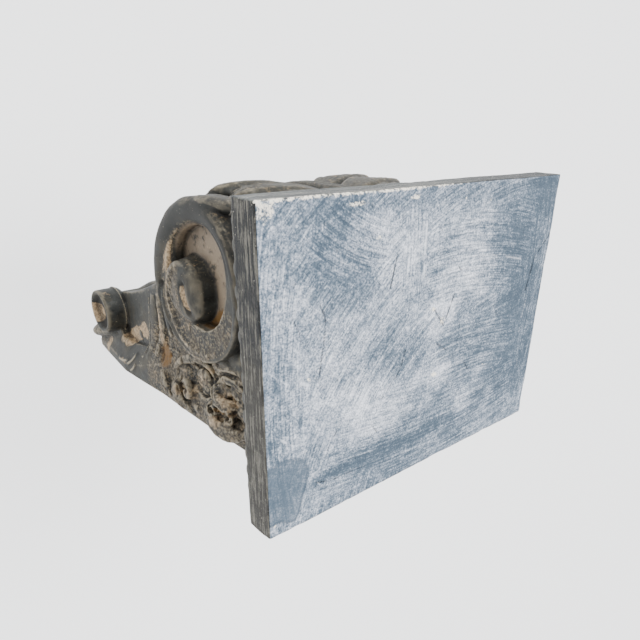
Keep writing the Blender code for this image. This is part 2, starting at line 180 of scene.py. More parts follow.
# Bar along a path: an ellipse of the given half width and height, with a groove along its crown.
def sweepShell(path, normal, halfWidth, halfHeight, groove=0.0, around=22):
    tangent = np.gradient(path, axis=0)
    tangent /= np.linalg.norm(tangent, axis=1)[:, None]
    across = np.cross(tangent, normal)
    across /= np.linalg.norm(across, axis=1)[:, None]
    up = np.cross(across, tangent)
    a = np.linspace(0, 2 * math.pi, around, endpoint=False)
    dip = 1 - groove * bell(np.cos(a), 0.30) * (np.sin(a) > 0)
    rings = (path[:, None] + across[:, None] * (np.cos(a)[:, None] * halfWidth[:, None, None])
             + up[:, None] * ((np.sin(a) * dip)[:, None] * halfHeight[:, None, None]))
    return shellOf(rings)


# Width along a lobe: it swells as a quarter sine to its fullest place and falls as a cosine.
def lobeTaper(t, fullest=0.45, root=0.55, tip=0.12):
    rising = root + (1 - root) * np.sin(np.clip(t / fullest, 0, 1) * math.pi / 2)
    falling = tip + (1 - tip) * np.cos(np.clip((t - fullest) / (1 - fullest), 0, 1) * math.pi / 2)
    return np.where(t < fullest, rising, falling)


leafBed = {
    # down, half width at the wall, half width at the front (m), how far out its front lies
    "stations": [(0.06, 0.096, 0.094, 0.760), (0.30, 0.098, 0.095, 0.760),
                 (0.60, 0.101, 0.097, 0.780), (0.85, 0.102, 0.096, 0.760),
                 (1.05, 0.102, 0.095, 0.760), (1.25, 0.105, 0.095, 0.830),
                 (1.42, 0.107, 0.094, 0.865), (1.55, 0.104, 0.094, 0.868),
                 (1.72, 0.100, 0.092, 0.868), (1.86, 0.096, 0.088, 0.905)],
    "pastWall": 0.006,
    # its side reaches the full width this far behind its front, the corner between them cut off;
    # what lies on it is laid as if it were widest at the last of these
    "shoulder": 0.06, "shoulderMost": 0.94, "corner": (0.004, 0.03), "widestOut": 0.97,
}


# Half width of the side at (down, out): the flat cheek, or the bed that widens to the wall.
def cheekAt(down, out):
    station, wallX, frontX, frontOut = np.transpose(leafBed["stations"])
    edgeOut = np.interp(down, station, frontOut)
    toWall = np.clip((out - edgeOut) / (leafBed["widestOut"] - edgeOut), 0, 1)
    atFront, atWall = np.interp(down, station, frontX), np.interp(down, station, wallX)
    bed = atFront + (atWall - atFront) * toWall
    return np.where(out < edgeOut, cheekX, np.maximum(bed, cheekX))


# Leaf bed: a section for each station, four points on each side, joined down the corbel.
def leafBedShell():
    back = 1 + leafBed["pastWall"] / unit
    cutX, cutOut = leafBed["corner"]
    rings = []
    for down, wallX, frontX, frontOut in leafBed["stations"]:
        edge = min(leafBed["shoulderMost"], frontOut + leafBed["shoulder"])
        half = [(frontX, frontOut), (wallX - cutX, edge), (wallX, edge + cutOut), (wallX, back)]
        section = half + [(-x, out) for x, out in half[::-1]]
        rings.append([(x, *sidePoint(down, out)) for x, out in section])
    return shellOf(rings)


scroll = {
    # outline in shares (down, out): the front curve, the arc round the roll, and the foot
    "front": [(-0.03, 0.100), (0.20, 0.104), (0.42, 0.110), (0.60, 0.116), (0.73, 0.148),
              (0.83, 0.218), (0.895, 0.310), (0.955, 0.415), (1.03, 0.470), (1.115, 0.496),
              (1.22, 0.540), (1.32, 0.577), (1.42, 0.610), (1.53, 0.636)],
    "underRoll": [(1.66, 0.875), (1.74, 0.890)],
    "foot": 1.78,
    "wrapRadius": 0.098,
    "wrapAngles": (-68, 78),
    # metres: depth of the volutes' hollows, and how far the block runs past the wall plane
    "recessDepth": 0.0145,
    "pastWall": 0.006,
    # how far the front edge is drawn back at each distance in from the cheek, both in metres
    "softEdge": [(0.0, 0.0060), (0.0012, 0.0034), (0.0032, 0.0014), (0.0070, 0.0)],
    # the neck's cheek sinks towards the roll: how far down that starts, outline of the hollow,
    # half width at the start, and how much narrower it gets for each share down, in metres
    "neckTop": 1.175,
    "neck": [(1.175, 0.42), (1.64, 0.42), (1.64, 0.70), (1.57, 0.82), (1.50, 0.90), (1.36, 0.90),
             (1.245, 0.87), (1.200, 0.745), (1.165, 0.60)],
    "neckX": 0.0932,
    "neckSlope": 0.019,
}


# Outline of the scroll: its front curve, an arc round the roll, the foot and the straight back.
# The first points, on the front curve, are the ones that can be drawn back.
def scrollOutline(drawnBack):
    a = np.radians(np.linspace(*scroll["wrapAngles"], 30))
    turn = rollCentre + scroll["wrapRadius"] * np.stack([np.cos(a), np.sin(a)], -1)
    back = 1 + scroll["pastWall"] / unit
    foot = [(scroll["foot"], back), (-0.03, back)]
    front = smoothCurve(scroll["front"], 90)
    front[:, 1] += drawnBack / unit * (1 - smoothStep(1.40, 1.52, front[:, 0]))
    return np.vstack([front, turn, scroll["underRoll"], foot])


# The block of the scroll: sections across it, softened at the front edges. The round hollows of
# the volutes and the sunk cheeks of the neck are cut from it.
def scrollBlock():
    half = [(cheekX - depth, drawnBack) for depth, drawnBack in scroll["softEdge"]]
    sections = [(-x, drawnBack) for x, drawnBack in half] + half[::-1]
    rings = []
    for x, drawnBack in sections:
        outline = sidePoint(*scrollOutline(drawnBack).T)
        rings.append(np.column_stack([np.full(len(outline), x), outline]))
    block = meshObject("scroll block", [shellOf(rings)])
    cutters = []
    for side in (-1, 1):
        reach = [(side * (faceX - scroll["recessDepth"]), openingRadius * unit),
                 (side * (faceX + 0.01), openingRadius * unit)]
        cutters.append(meshObject("hollow", [turnedShell(voluteCentre, reach, 96)]))
        down, out = np.transpose(scroll["neck"])
        sunk = scroll["neckX"] - scroll["neckSlope"] * (down - scroll["neckTop"])
        inner, outer = (np.column_stack([side * x, sidePoint(down, out)])
                        for x in (sunk, np.full(len(down), faceX + 0.01)))
        cutters.append(meshObject("neck hollow", [shellOf([inner, outer])]))
    for cutter in cutters:
        cut = block.modifiers.new("Hollow", "BOOLEAN")
        cut.operation = "DIFFERENCE"
        cut.object = cutter
    applyModifiers(block)
    shell = (readVertices(block.data), [list(face.vertices) for face in block.data.polygons])
    for made in cutters + [block]:
        bpy.data.objects.remove(made, do_unlink=True)
    return shell


volute = {
    # angle (0 down, 90 to the wall, -90 to the front); outer radius, width of the rounded band,
    # radius of the opening, width of its bevel, radius and strength of the strap
    "stations": [
        (-180, 0.272, 0.052, 0.185, 0.010, 0.25, 0.0),
        (-150, 0.271, 0.046, 0.193, 0.014, 0.25, 0.0),
        (-120, 0.270, 0.058, 0.186, 0.022, 0.25, 0.0),
        (-90, 0.270, 0.076, 0.174, 0.022, 0.25, 0.0),
        (-60, 0.275, 0.082, 0.176, 0.022, 0.24, 0.0),
        (-30, 0.304, 0.088, 0.196, 0.022, 0.23, 0.0),
        (-10, 0.340, 0.092, 0.206, 0.026, 0.225, 0.3),
        (10, 0.370, 0.070, 0.208, 0.016, 0.238, 1.0),
        (30, 0.386, 0.042, 0.208, 0.010, 0.290, 1.0),
        (50, 0.386, 0.032, 0.207, 0.008, 0.325, 1.0),
        (63, 0.374, 0.026, 0.206, 0.008, 0.329, 1.0),
        (80, 0.355, 0.022, 0.204, 0.008, 0.316, 0.8),
        (100, 0.332, 0.018, 0.200, 0.008, 0.300, 0.5),
        (122, 0.314, 0.018, 0.190, 0.008, 0.280, 0.1),
        (150, 0.292, 0.034, 0.182, 0.008, 0.25, 0.0),
        (180, 0.272, 0.052, 0.185, 0.010, 0.25, 0.0),
    ],
    # heights above the flat face and widths, in shares; a band narrower than the full is lower
    "flat": -0.005,
    "bandRise": 0.011,
    "fullBand": 0.045,
    "roundedOff": 0.013,
    "bevelDrop": 0.036,
    "strapRise": 0.012,
    "strapWidth": 0.017,
    # metres that the plate is let into the cheek
    "root": 0.010,
}


# Values of a volute's stations at the given angles, eased so that no corner shows.
def voluteAt(angle):
    turns = np.linspace(-180, 180, 361)
    station, *columns = np.transpose(volute["stations"])
    kernel = np.hanning(23) / np.hanning(23).sum()
    for column in columns:
        whole = np.interp(turns, station, column)[:-1]
        eased = np.convolve(np.concatenate([whole[-11:], whole, whole[:11]]), kernel, "valid")
        yield np.interp(angle, turns, np.append(eased, eased[0]))


# Plate of a volute: a height for every angle and every share of the way from the opening to the
# outer edge. A half sine makes the band and a bell curve the strap; smooth steps round off the
# outer edge and slope the bevel down into the opening.
def voluteShell(side):
    angle = np.linspace(-180, 180, 320, endpoint=False)
    reach, band, inner, bevel, strap, strength = voluteAt(angle)
    rows = [(-1.0, inner)]
    for share in np.linspace(0, 1, 70):
        radius = inner + share * (reach - inner)
        t = np.clip((radius - reach + band) / band, 0, 1)
        rise = volute["bandRise"] * np.sin(t * math.pi) ** 0.7 * np.minimum(1, band / volute["fullBand"])
        rise += volute["flat"]
        rise -= volute["roundedOff"] * smoothStep(0.72, 1.08, t) ** 1.5
        rise += volute["strapRise"] * strength * bell(radius - strap, volute["strapWidth"])
        rise -= volute["bevelDrop"] * (1 - smoothStep(-0.6, 1.0, (radius - inner) / bevel))
        rows.append((rise, radius))
    rows.append((-1.0, reach))
    sunk, turn = cheekX - volute["root"], np.radians(angle)
    rings = []
    for rise, radius in rows:
        x = np.maximum(faceX + rise * unit, sunk) * np.ones_like(turn)
        yz = sidePoint(voluteCentre[0] + radius * np.cos(turn), voluteCentre[1] + radius * np.sin(turn))
        rings.append(np.column_stack([side * x, yz]))
    return shellOf(rings, closed=True)


eye = {
    # metres, but for the flare, which is the root's radius against the end's
    "radius": 0.0264, "rise": 0.0052, "root": 0.004, "dome": 0.0095, "flare": 1.10, "ring": 0.0058,
    # the scroll's start and turn, in degrees from straight down towards the wall
    "scrollStart": -128, "scrollTurn": 190,
    # the ball in its middle: centre (down, out), half axes (down, out, height) in shares
    "ball": ((0.708, 0.482), (0.034, 0.040, 0.022)),
}


# Eye: a post turned from (x, radius), its end a dome with a rounded shoulder.
def eyeShell(side):
    base, top = faceX - scroll["recessDepth"] - eye["root"], faceX + eye["rise"]
    t = np.linspace(1, 0, 16)
    dome = np.column_stack([side * (top - eye["dome"] * (1 - np.cos(t * math.pi / 2))),
                            eye["radius"] * (0.02 + 0.98 * np.sin(t * math.pi / 2) ** 0.75)])
    return turnedShell(eyeCentre, [(side * base, eye["flare"] * eye["radius"])] + dome.tolist(), 72)


# Scroll on the eye's end: a broad tube wound half round its lower side, thin at its ends.
def eyeScrollShell(side):
    t = np.linspace(0, 1, 60)
    a = np.radians(eye["scrollStart"] + eye["scrollTurn"] * t)
    radius = (eye["radius"] - 0.95 * eye["ring"]) / unit
    yz = sidePoint(eyeCentre[0] + radius * np.cos(a), eyeCentre[1] + radius * np.sin(a))
    x = np.full(len(t), faceX)
    size = eye["ring"] * lobeTaper(t, 0.5, 0.25, 0.40)
    return sweepShell(np.column_stack([side * x, yz]), np.array([side, 0.0, 0.0]), size, 0.85 * size)


# metres
roll = {"width": 0.219, "radius": 0.0238, "ringRadius": 0.0252, "ringWidth": 0.0036,
        "ringPlace": 0.0895, "dishRadius": 0.0190, "dishDepth": 0.0075, "lip": 0.0022,
        "waist": 0.0055}


# Lower roll: a bar turned across the corbel, with a raised ring and a dished end on each side.
def rollShell():
    end, lip, depth = roll["width"] / 2, roll["lip"], roll["dishDepth"]
    dish, ring, wide = roll["dishRadius"], roll["ringRadius"], roll["ringWidth"]
    half = [(end - depth, 0.15 * dish), (end - depth, 0.6 * dish), (end - 0.75 * depth, 0.88 * dish),
            (end - 0.3 * depth, dish), (end - 0.3 * lip, dish + 0.2 * lip), (end, dish + 0.9 * lip)]
    for a in np.linspace(0.1, 1, 6) * math.pi / 2:
        half.append((end - lip + lip * math.cos(a), roll["radius"] - lip + lip * math.sin(a)))
    for a in np.linspace(-1, 1, 9):
        half.append((roll["ringPlace"] - a * wide / 2,
                     roll["radius"] + (ring - roll["radius"]) * math.cos(a * math.pi / 2) ** 2))
    return turnedShell(rollCentre, [(-x, r) for x, r in half] + half[::-1], 120)


sideLeaf = {
    "relief": 0.72,                    # of the heights below, all in shares, and of the eye's ball
    # lobes laid on the bed: points (down, out, rise), width, height, groove
    "lobes": [
        ([(0.990, 0.530, 0.000), (0.980, 0.570, 0.006), (0.975, 0.630, 0.006), (0.965, 0.700, 0.004)],
         0.060, 0.014, 0.0),
        ([(1.058, 0.530, 0.000), (1.044, 0.570, 0.005), (1.034, 0.630, 0.006), (1.040, 0.700, 0.006),
          (1.084, 0.780, 0.006), (1.130, 0.870, 0.004)], 0.064, 0.016, 0.0),
        ([(1.115, 0.550, 0.000), (1.115, 0.590, 0.003), (1.120, 0.650, 0.004), (1.136, 0.720, 0.004),
          (1.165, 0.800, 0.004), (1.215, 0.890, 0.002)], 0.076, 0.014, 0.0),
        ([(0.925, 0.833, 0.0), (0.859, 0.778, 0.016), (0.781, 0.739, 0.022), (0.692, 0.717, 0.022),
          (0.625, 0.728, 0.014), (0.600, 0.785, 0.0)], 0.040, 0.024, 0.2),
        ([(0.60, 0.700, 0.01), (0.52, 0.715, 0.02), (0.43, 0.690, 0.02), (0.34, 0.650, 0.0)],
         0.060, 0.024, 0.3),
        ([(0.57, 0.790, 0.0), (0.515, 0.735, 0.02), (0.43, 0.722, 0.024), (0.36, 0.760, 0.01)],
         0.050, 0.026, 0.3),
        ([(0.93, 0.860, 0.0), (0.89, 0.905, 0.02), (0.84, 0.945, 0.02), (0.76, 0.970, 0.01)],
         0.085, 0.024, 0.3),
        ([(0.60, 0.800, 0.0), (0.55, 0.835, 0.022), (0.49, 0.840, 0.022), (0.42, 0.815, 0.01)],
         0.080, 0.026, 0.3),
        ([(0.66, 0.930, 0.0), (0.56, 0.955, 0.022), (0.44, 0.945, 0.022), (0.34, 0.910, 0.01)],
         0.080, 0.024, 0.3),
        ([(0.36, 0.740, 0.0), (0.30, 0.780, 0.022), (0.24, 0.850, 0.022), (0.20, 0.930, 0.01)],
         0.080, 0.024, 0.3),
        ([(1.04, 0.860, 0.0), (1.00, 0.910, 0.020), (0.94, 0.960, 0.015)], 0.075, 0.024, 0.3),
        ([(0.56, 0.650, 0.0), (0.50, 0.680, 0.016), (0.42, 0.700, 0.018), (0.34, 0.700, 0.0)],
         0.070, 0.026, 0.2),
    ],
    # curls: centre (down, out), ring radius, tube radius, turns
    "curls": [((0.785, 0.868), 0.036, 0.016, 0.8), ((0.580, 0.888), 0.028, 0.014, 1.3),
              ((0.475, 0.880), 0.030, 0.015, 0.9)],
    # lumps between them: centre (down, out), half axes (down, out, height)
    "lumps": [((0.672, 0.800), (0.058, 0.052, 0.026)), ((0.836, 0.815), (0.050, 0.034, 0.016)),
              ((0.520, 0.790), (0.044, 0.034, 0.022)), ((0.430, 0.770), (0.050, 0.040, 0.026)),
              ((0.425, 0.655), (0.070, 0.052, 0.036)), ((0.740, 0.945), (0.045, 0.028, 0.018)),
              ((0.925, 0.925), (0.050, 0.034, 0.020)), ((0.690, 0.880), (0.040, 0.035, 0.020)),
              ((0.400, 0.840), (0.045, 0.040, 0.020))],
    # knob on the neck: a lump, and the half width of the corbel at its middle in metres
    "knob": ((1.338, 0.798), (0.026, 0.022, 0.012), 0.0902),
}


# Points (down, out, rise) laid on the side: x is the half width there and the rise added to it.
def onSide(side, points):
    down, out, rise = points.T
    return np.column_stack([side * (cheekAt(down, out) + rise * unit), sidePoint(down, out)])


# Lobe: a bar along a smooth line on the side, its width and height following the lobe's taper.
def sideLobeShell(side, points, width, height, groove):
    path = onSide(side, smoothCurve(points, 36))
    shape = lobeTaper(np.linspace(0, 1, len(path)), 0.45, 0.6, 0.25)
    return sweepShell(path, np.array([side, 0.0, 0.0]), width / 2 * unit * shape,
                      sideLeaf["relief"] * height * unit * shape**0.5, groove)


# Curl: a tube wound on the bed, radius shrinking along its turns towards a rising middle.
def curlShell(side, centre, ringRadius, tubeRadius, turns):
    t = np.linspace(0, 1, 48)
    a = 2 * math.pi * turns * t + 0.6
    radius = ringRadius * (1 - 0.45 * t * min(1.0, turns - 0.6))
    points = np.column_stack([centre[0] + radius * np.cos(a), centre[1] + radius * np.sin(a),
                              0.012 + 0.018 * t])
    size = tubeRadius * unit * lobeTaper(t, 0.3, 0.6, 0.5)
    return sweepShell(onSide(side, points), np.array([side, 0.0, 0.0]), size, size * 1.2)


# Lump: an ellipsoid, rings from pole to pole along x, its middle on the side or at a level.
def lumpShell(side, centre, axes, level=None):
    t = np.linspace(0.03, 0.97, 16) * math.pi
    a = np.linspace(0, 2 * math.pi, 28, endpoint=False)
    y, z = sidePoint(*centre)
    middle = cheekAt(*centre) if level is None else level
    x = middle - np.cos(t) * axes[2] * sideLeaf["relief"] * unit
    r = np.sin(t)[:, None]
    rings = np.stack([np.broadcast_to(side * x[:, None], (len(t), len(a))),
                      y + r * np.cos(a) * axes[1] * unit, z + r * np.sin(a) * axes[0] * unit], -1)
    return shellOf(rings)


frontLeaf = {
    # all in shares; pairs of lobes, each a step below the last and a little narrower
    "pairs": 4, "firstDown": 0.04, "step": 0.165, "spread": 0.405, "narrowing": 0.004,
    "lifts": (0.020, 0.028, 0.038, 0.042),
    # the fingers of a lobe: the last one reaches less far out by this part, and drops more
    "fingers": 4, "width": 0.095, "height": 0.036, "groove": 0.35, "shorter": 0.22,
    "drops": (0.10, 0.14),
    # stem, swelling of the neck below it, and a lobe along each rim: points (down, across, lift),
    # width, height and groove, and for the stem its taper
    "stem": ([(0.08, 0, 0.010), (0.35, 0, 0.030), (0.62, 0, 0.034), (0.80, 0, 0.030),
              (0.93, 0, 0.045)], 0.090, 0.036, 0.35, (0.35, 0.7, 0.35)),
    "neck": ([(1.00, 0, 0.0), (1.16, 0, 0.002), (1.34, 0, 0.0), (1.50, 0, -0.010)],
             0.300, 0.022, 0.25),
    "rim": ([(0.36, 0.36, 0.0), (0.48, 0.41, 0.012), (0.60, 0.43, 0.014), (0.70, 0.43, 0.0)],
            0.110, 0.030, 0.2),
}


# Place and outward direction on the front curve at each distance down: the direction is square to
# the curve's slope there.
def frontPlace(down, x):
    curve = smoothCurve(scroll["front"], 400)
    slope = np.interp(down, curve[:, 0], np.gradient(curve[:, 1], curve[:, 0]))
    place = np.column_stack([x, sidePoint(down, np.interp(down, curve[:, 0], curve[:, 1]))])
    normal = np.stack([np.zeros_like(slope), -np.ones_like(slope), -slope], -1)
    return place, normal / np.linalg.norm(normal, axis=-1)[:, None]


# Lobe on the front: a bar along a smooth line, lifted off the front curve.
def frontLobeShell(points, width, height, groove, taper=(0.45, 0.55, 0.12)):
    count = 36
    curve = smoothCurve(points, count)
    place, normal = frontPlace(curve[:, 0], curve[:, 1] * unit)
    shape = lobeTaper(np.linspace(0, 1, count), *taper)
    return sweepShell(place + normal * curve[:, 2:3] * unit, normal,
                      width / 2 * unit * shape, height * unit * shape**0.5, groove)


# Acanthus leaf on the front: a ribbed stem, a lobe along each rim, and for each pair and side a
# fan of grooved fingers that start at the stem and end at the rim.
def frontLeafShells():
    shells = [frontLobeShell(*frontLeaf["stem"]), frontLobeShell(*frontLeaf["neck"])]
    line, *size = frontLeaf["rim"]
    for side in (-1, 1):
        rim = [(down, side * across, lift) for down, across, lift in line]
        shells.append(frontLobeShell(rim, *size))
    for k in range(frontLeaf["pairs"]):
        start = frontLeaf["firstDown"] + frontLeaf["step"] * k
        spread = frontLeaf["spread"] - frontLeaf["narrowing"] * k
        lift = frontLeaf["lifts"][k]
        for side in (-1, 1):
            for finger in range(frontLeaf["fingers"]):
                turn = finger / (frontLeaf["fingers"] - 1)
                reach = spread * (1.0 - frontLeaf["shorter"] * turn)
                drop = frontLeaf["drops"][0] + frontLeaf["drops"][1] * turn
                points = [(start, side * 0.02, 0.008), (start + 0.35 * drop, side * reach * 0.45, lift),
                          (start + 0.70 * drop, side * reach * 0.85, lift),
                          (start + drop, side * reach, (0.55 + 0.25 * turn) * lift)]
                shells.append(frontLobeShell(points, frontLeaf["width"], frontLeaf["height"],
                                             frontLeaf["groove"]))
    return shells


# shares; every other tip ends higher by the step
tail = {"end": 1.945, "step": 0.05, "spread": 0.375, "tips": 5, "halfWidth": 0.100,
        "height": 0.045, "groove": 0.30}


# Tail: pointed lobes side by side below the roll, each a bar grooved down the middle.
def tailShells():
    shells = []
    for k in range(tail["tips"]):
        x = (k / (tail["tips"] - 1) - 0.5) * 2 * tail["spread"]
        reach = tail["end"] - tail["step"] * (k % 2)
        curve = smoothCurve([(1.52, x * 0.8, 0.880), (1.70, x * 0.95, 0.880),
                             (reach - 0.06, x, 0.925), (reach, x, 0.950)], 36)
        path = np.column_stack([curve[:, 1] * unit, sidePoint(curve[:, 0], curve[:, 2])])
        shape = lobeTaper(np.linspace(0, 1, 36), 0.5, 0.8, 0.3)
        shells.append(sweepShell(path, np.array([0.0, -1.0, 0.0]), tail["halfWidth"] * unit * shape,
                                 tail["height"] * unit * shape**0.5, tail["groove"]))
    return shells


carving = {
    # strokes that cut or raise the faces that look sideways: points (down, out) in shares, half
    # width, and depth (below zero it cuts), both in metres
    "strokes": [
        ([(0.686, 0.402), (0.680, 0.450), (0.664, 0.505)], 0.0036, -0.0026),
        ([(0.905, 0.440), (0.925, 0.500), (0.905, 0.580), (0.865, 0.630)], 0.0022, -0.0018),
        ([(1.008, 0.540), (1.002, 0.600), (1.002, 0.660), (1.020, 0.740)], 0.0012, -0.0010),
        ([(1.160, 0.574), (1.186, 0.660), (1.198, 0.743), (1.241, 0.857)], 0.0009, 0.0012),
        ([(0.540, 0.870), (0.480, 0.880), (0.410, 0.890)], 0.0020, -0.0050),
        ([(0.570, 0.775), (0.503, 0.711), (0.403, 0.694)], 0.0016, -0.0038),
        ([(0.850, 0.845), (0.855, 0.885), (0.825, 0.905)], 0.0013, -0.0030),
        ([(0.447, 0.805), (0.430, 0.825)], 0.0028, -0.0050),
        ([(0.700, 0.850), (0.660, 0.862), (0.620, 0.845)], 0.0014, -0.0030),
        ([(0.600, 0.800), (0.575, 0.845), (0.590, 0.875)], 0.0013, -0.0028),
        ([(1.060, 0.770), (1.050, 0.830)], 0.0036, -0.0018),
        ([(1.372, 0.776), (1.380, 0.800), (1.362, 0.824), (1.330, 0.830)], 0.0010, -0.0012),
        ([(1.500, 0.958), (1.448, 0.952), (1.390, 0.935)], 0.0022, 0.0011),
        ([(1.330, 0.895), (1.348, 0.925), (1.385, 0.952)], 0.0020, 0.0013),
        ([(1.306, 0.935), (1.330, 0.960), (1.360, 0.978)], 0.0018, 0.0012),
    ],
    # thin lines where the paint has rubbed through to pale plaster: points, half width in metres
    "paleLines": [
        ([(1.160, 0.574), (1.186, 0.660), (1.198, 0.743), (1.241, 0.857)], 0.0008),
        ([(1.500, 0.958), (1.448, 0.952), (1.400, 0.938)], 0.0014),
        ([(1.333, 0.900), (1.348, 0.925), (1.376, 0.946)], 0.0013),
        ([(1.310, 0.940), (1.330, 0.960), (1.352, 0.974)], 0.0012),
        ([(1.268, 0.870), (1.262, 0.890)], 0.0010),
    ],
    # metres pushed in or out by lumps, grain and pits: everywhere, where sandy, where leafy
    "lumps": (0.0002, 0.0, 0.0005),
    "grain": (0.00003, 0.00036, 0.00010),
    "pits": (0.0, 0.0003, 0.0005),
}


# Distance in metres from each point of the side view to the nearest of forty places along a
# smooth line through the given points.
def strokeDistance(shares, points):
    line = smoothCurve(points, 40)
    best = np.full(len(shares), np.inf)
    for spot in line:
        best = np.minimum(best, np.hypot(*(shares - spot).T))
    return best * unit


# Surface of the scroll: each stroke pushes it in or out along its normal by a bell curve of the
# distance to its line, and noise adds lumps, grain and pits, strongest where the cast is sandy or
# leafy and none at the wall. Between its rings and its middle the roll is drawn in to a waist.
def carveSurface(points, normals):
    shares = sideShares(points)
    facing = smoothStep(0.3, 0.75, np.abs(normals[:, 0]))
    sideways = facing * smoothStep(0.078, 0.086, np.abs(points[:, 0]))
    push = np.zeros(len(points))
    for line, width, depth in carving["strokes"]:
        push += depth * bell(strokeDistance(shares, line), width) * sideways
    coarse = sandyShare(points, normals)
    leafy = smoothStep(0.62, 0.72, shares[:, 1]) * (1 - smoothStep(1.02, 1.10, shares[:, 0]))
    lumps, grain, pits = (carving[name][0] + carving[name][1] * coarse + carving[name][2] * leafy
                          for name in ("lumps", "grain", "pits"))
    push += lumps * roughNoise(points, 0.014, 2, 3)
    push += grain * roughNoise(points, 0.0042, 3, 11)
    push -= pits * smoothStep(0.40, 0.85, latticeNoise(points, 0.0042, 29))
    push *= smoothStep(0.0, 0.004, -points[:, 1])
    y, z = sidePoint(*rollCentre)
    toRoll = np.column_stack([np.zeros(len(points)), y - points[:, 1], z - points[:, 2]])
    distance = np.linalg.norm(toRoll, axis=1)
    across = np.abs(points[:, 0])
    waist = roll["waist"] * smoothStep(0.087, 0.079, across) * smoothStep(0.040, 0.062, across)
    waist *= smoothStep(0.040, 0.027, distance) * smoothStep(-0.3, 0.3, -normals[:, 1])
    return points + normals * push[:, None] + toRoll * (waist / distance)[:, None]


# Where the casting is sandy: the leaves, one long ridge of them, the sunk ring of each volute,
# the lower side of the eye's end, the tail and a little of the front. The share is a product of
# smooth steps over the angle and radius, or over down and out. All else is smooth.
def sandyShare(points, normals):
    shares = sideShares(points)
    sideways = smoothStep(0.25, 0.70, np.abs(normals[:, 0]))
    sideways *= smoothStep(0.078, 0.086, np.abs(points[:, 0]))
    leaves = smoothStep(0.64, 0.72, shares[:, 1]) * (1 - smoothStep(1.10, 1.22, shares[:, 0]))
    down, out = (shares - voluteCentre).T
    radius, angle = np.hypot(down, out), np.degrees(np.arctan2(out, down))
    reach, band, inner, *_ = voluteAt(angle)
    ring = smoothStep(0.0, 0.01, radius - inner)
    ring *= 1 - smoothStep(-0.008, 0.004, radius - reach + band)
    lower = smoothStep(-5, 25, angle) * (1 - smoothStep(135, 165, angle))
    sloping = 0.7 * smoothStep(-100, -70, angle) * (1 - smoothStep(0, 20, angle))
    ring *= np.maximum(lower, sloping)
    ridgePath = [place[:2] for place in sideLeaf["lobes"][1][0]]
    strip = bell(strokeDistance(shares, ridgePath), 0.005)
    eyeEnd = 1 - smoothStep(0.100, 0.120, np.hypot(*(shares - eyeCentre).T))
    eyeEnd *= smoothStep(0.104, 0.107, np.abs(points[:, 0])) * smoothStep(0.700, 0.740, shares[:, 0])
    tailEnd = 0.4 * smoothStep(1.62, 1.75, shares[:, 0]) * smoothStep(0.8, 0.9, shares[:, 1])
    front = 0.25 * smoothStep(0.3, 0.7, -normals[:, 1]) * (1 - smoothStep(1.0, 1.1, shares[:, 0]))
    return np.maximum.reduce([leaves * (0.4 + 0.6 * sideways), ring * sideways, 0.8 * eyeEnd,
                              0.8 * strip * sideways, tailEnd, front])


surface = {"voxel": 0.00115, "mostTriangles": 188000, "clearOfWall": 0.0010}


# Scroll: all its shells fused into one skin, carved, cut off at the wall and thinned out. Where it
# runs up inside the slab it stops short of the wall.
def makeScroll():
    shells = [scrollBlock(), leafBedShell(), rollShell()] + frontLeafShells() + tailShells()
    for side in (-1, 1):
        shells += [voluteShell(side), eyeShell(side), eyeScrollShell(side)]
        shells += [lumpShell(side, *eye["ball"], faceX - 0.0005)]
        shells += [sideLobeShell(side, *lobe) for lobe in sideLeaf["lobes"]]
        shells += [curlShell(side, *curl) for curl in sideLeaf["curls"]]
        shells += [lumpShell(side, *lump) for lump in sideLeaf["lumps"] + [sideLeaf["knob"]]]
    made = meshObject("carved_scroll", shells)
    fuse = made.modifiers.new("Fuse", "REMESH")
    fuse.mode = "VOXEL"
    fuse.voxel_size = surface["voxel"] * 1
    applyModifiers(made)
    writeVertices(made.data, carveSurface(readVertices(made.data), readVertices(made.data, "vector")))
    cutBack(made.data)
    points = readVertices(made.data)
    inSlab = points[:, 2] > slabUnder + 0.0002
    points[inSlab, 1] = np.minimum(points[inSlab, 1], -surface["clearOfWall"])
    writeVertices(made.data, points)
    triangles = sum(len(face.vertices) - 2 for face in made.data.polygons)
    thin = made.modifiers.new("Thin", "DECIMATE")
    thin.ratio = min(1.0, surface["mostTriangles"] / triangles)
    applyModifiers(made)
    print("scroll:", triangles, "triangles fused,", len(made.data.polygons), "kept")
    return made


def cutBack(mesh):                     # everything past the wall plane goes, and the cut is filled
    work = bmesh.new()
    work.from_mesh(mesh)
    everything = work.verts[:] + work.edges[:] + work.faces[:]
    cut = bmesh.ops.bisect_plane(work, geom=everything, plane_co=(0, 0, 0), plane_no=(0, 1, 0),
                                 clear_outer=True)
    rim = [part for part in cut["geom_cut"] if isinstance(part, bmesh.types.BMEdge)]
    bmesh.ops.edgeloop_fill(work, edges=rim)
    work.to_mesh(mesh)
    work.free()


# metres: rounding of the edges, pitch of the grid, size of a bristle's mark and the heights of all
# that varies the surface; the rim is in squares of the grid
slab = {"rounding": 0.0013, "pitch": 0.0010, "rim": 3, "markWidth": 0.0034, "markLength": 0.040,
        "waviness": 0.00045, "grain": 0.00010, "brushDepth": 0.00014, "scratchDepth": 0.0005,
        "spillHeight": 0.0004, "spillLip": 0.0003}

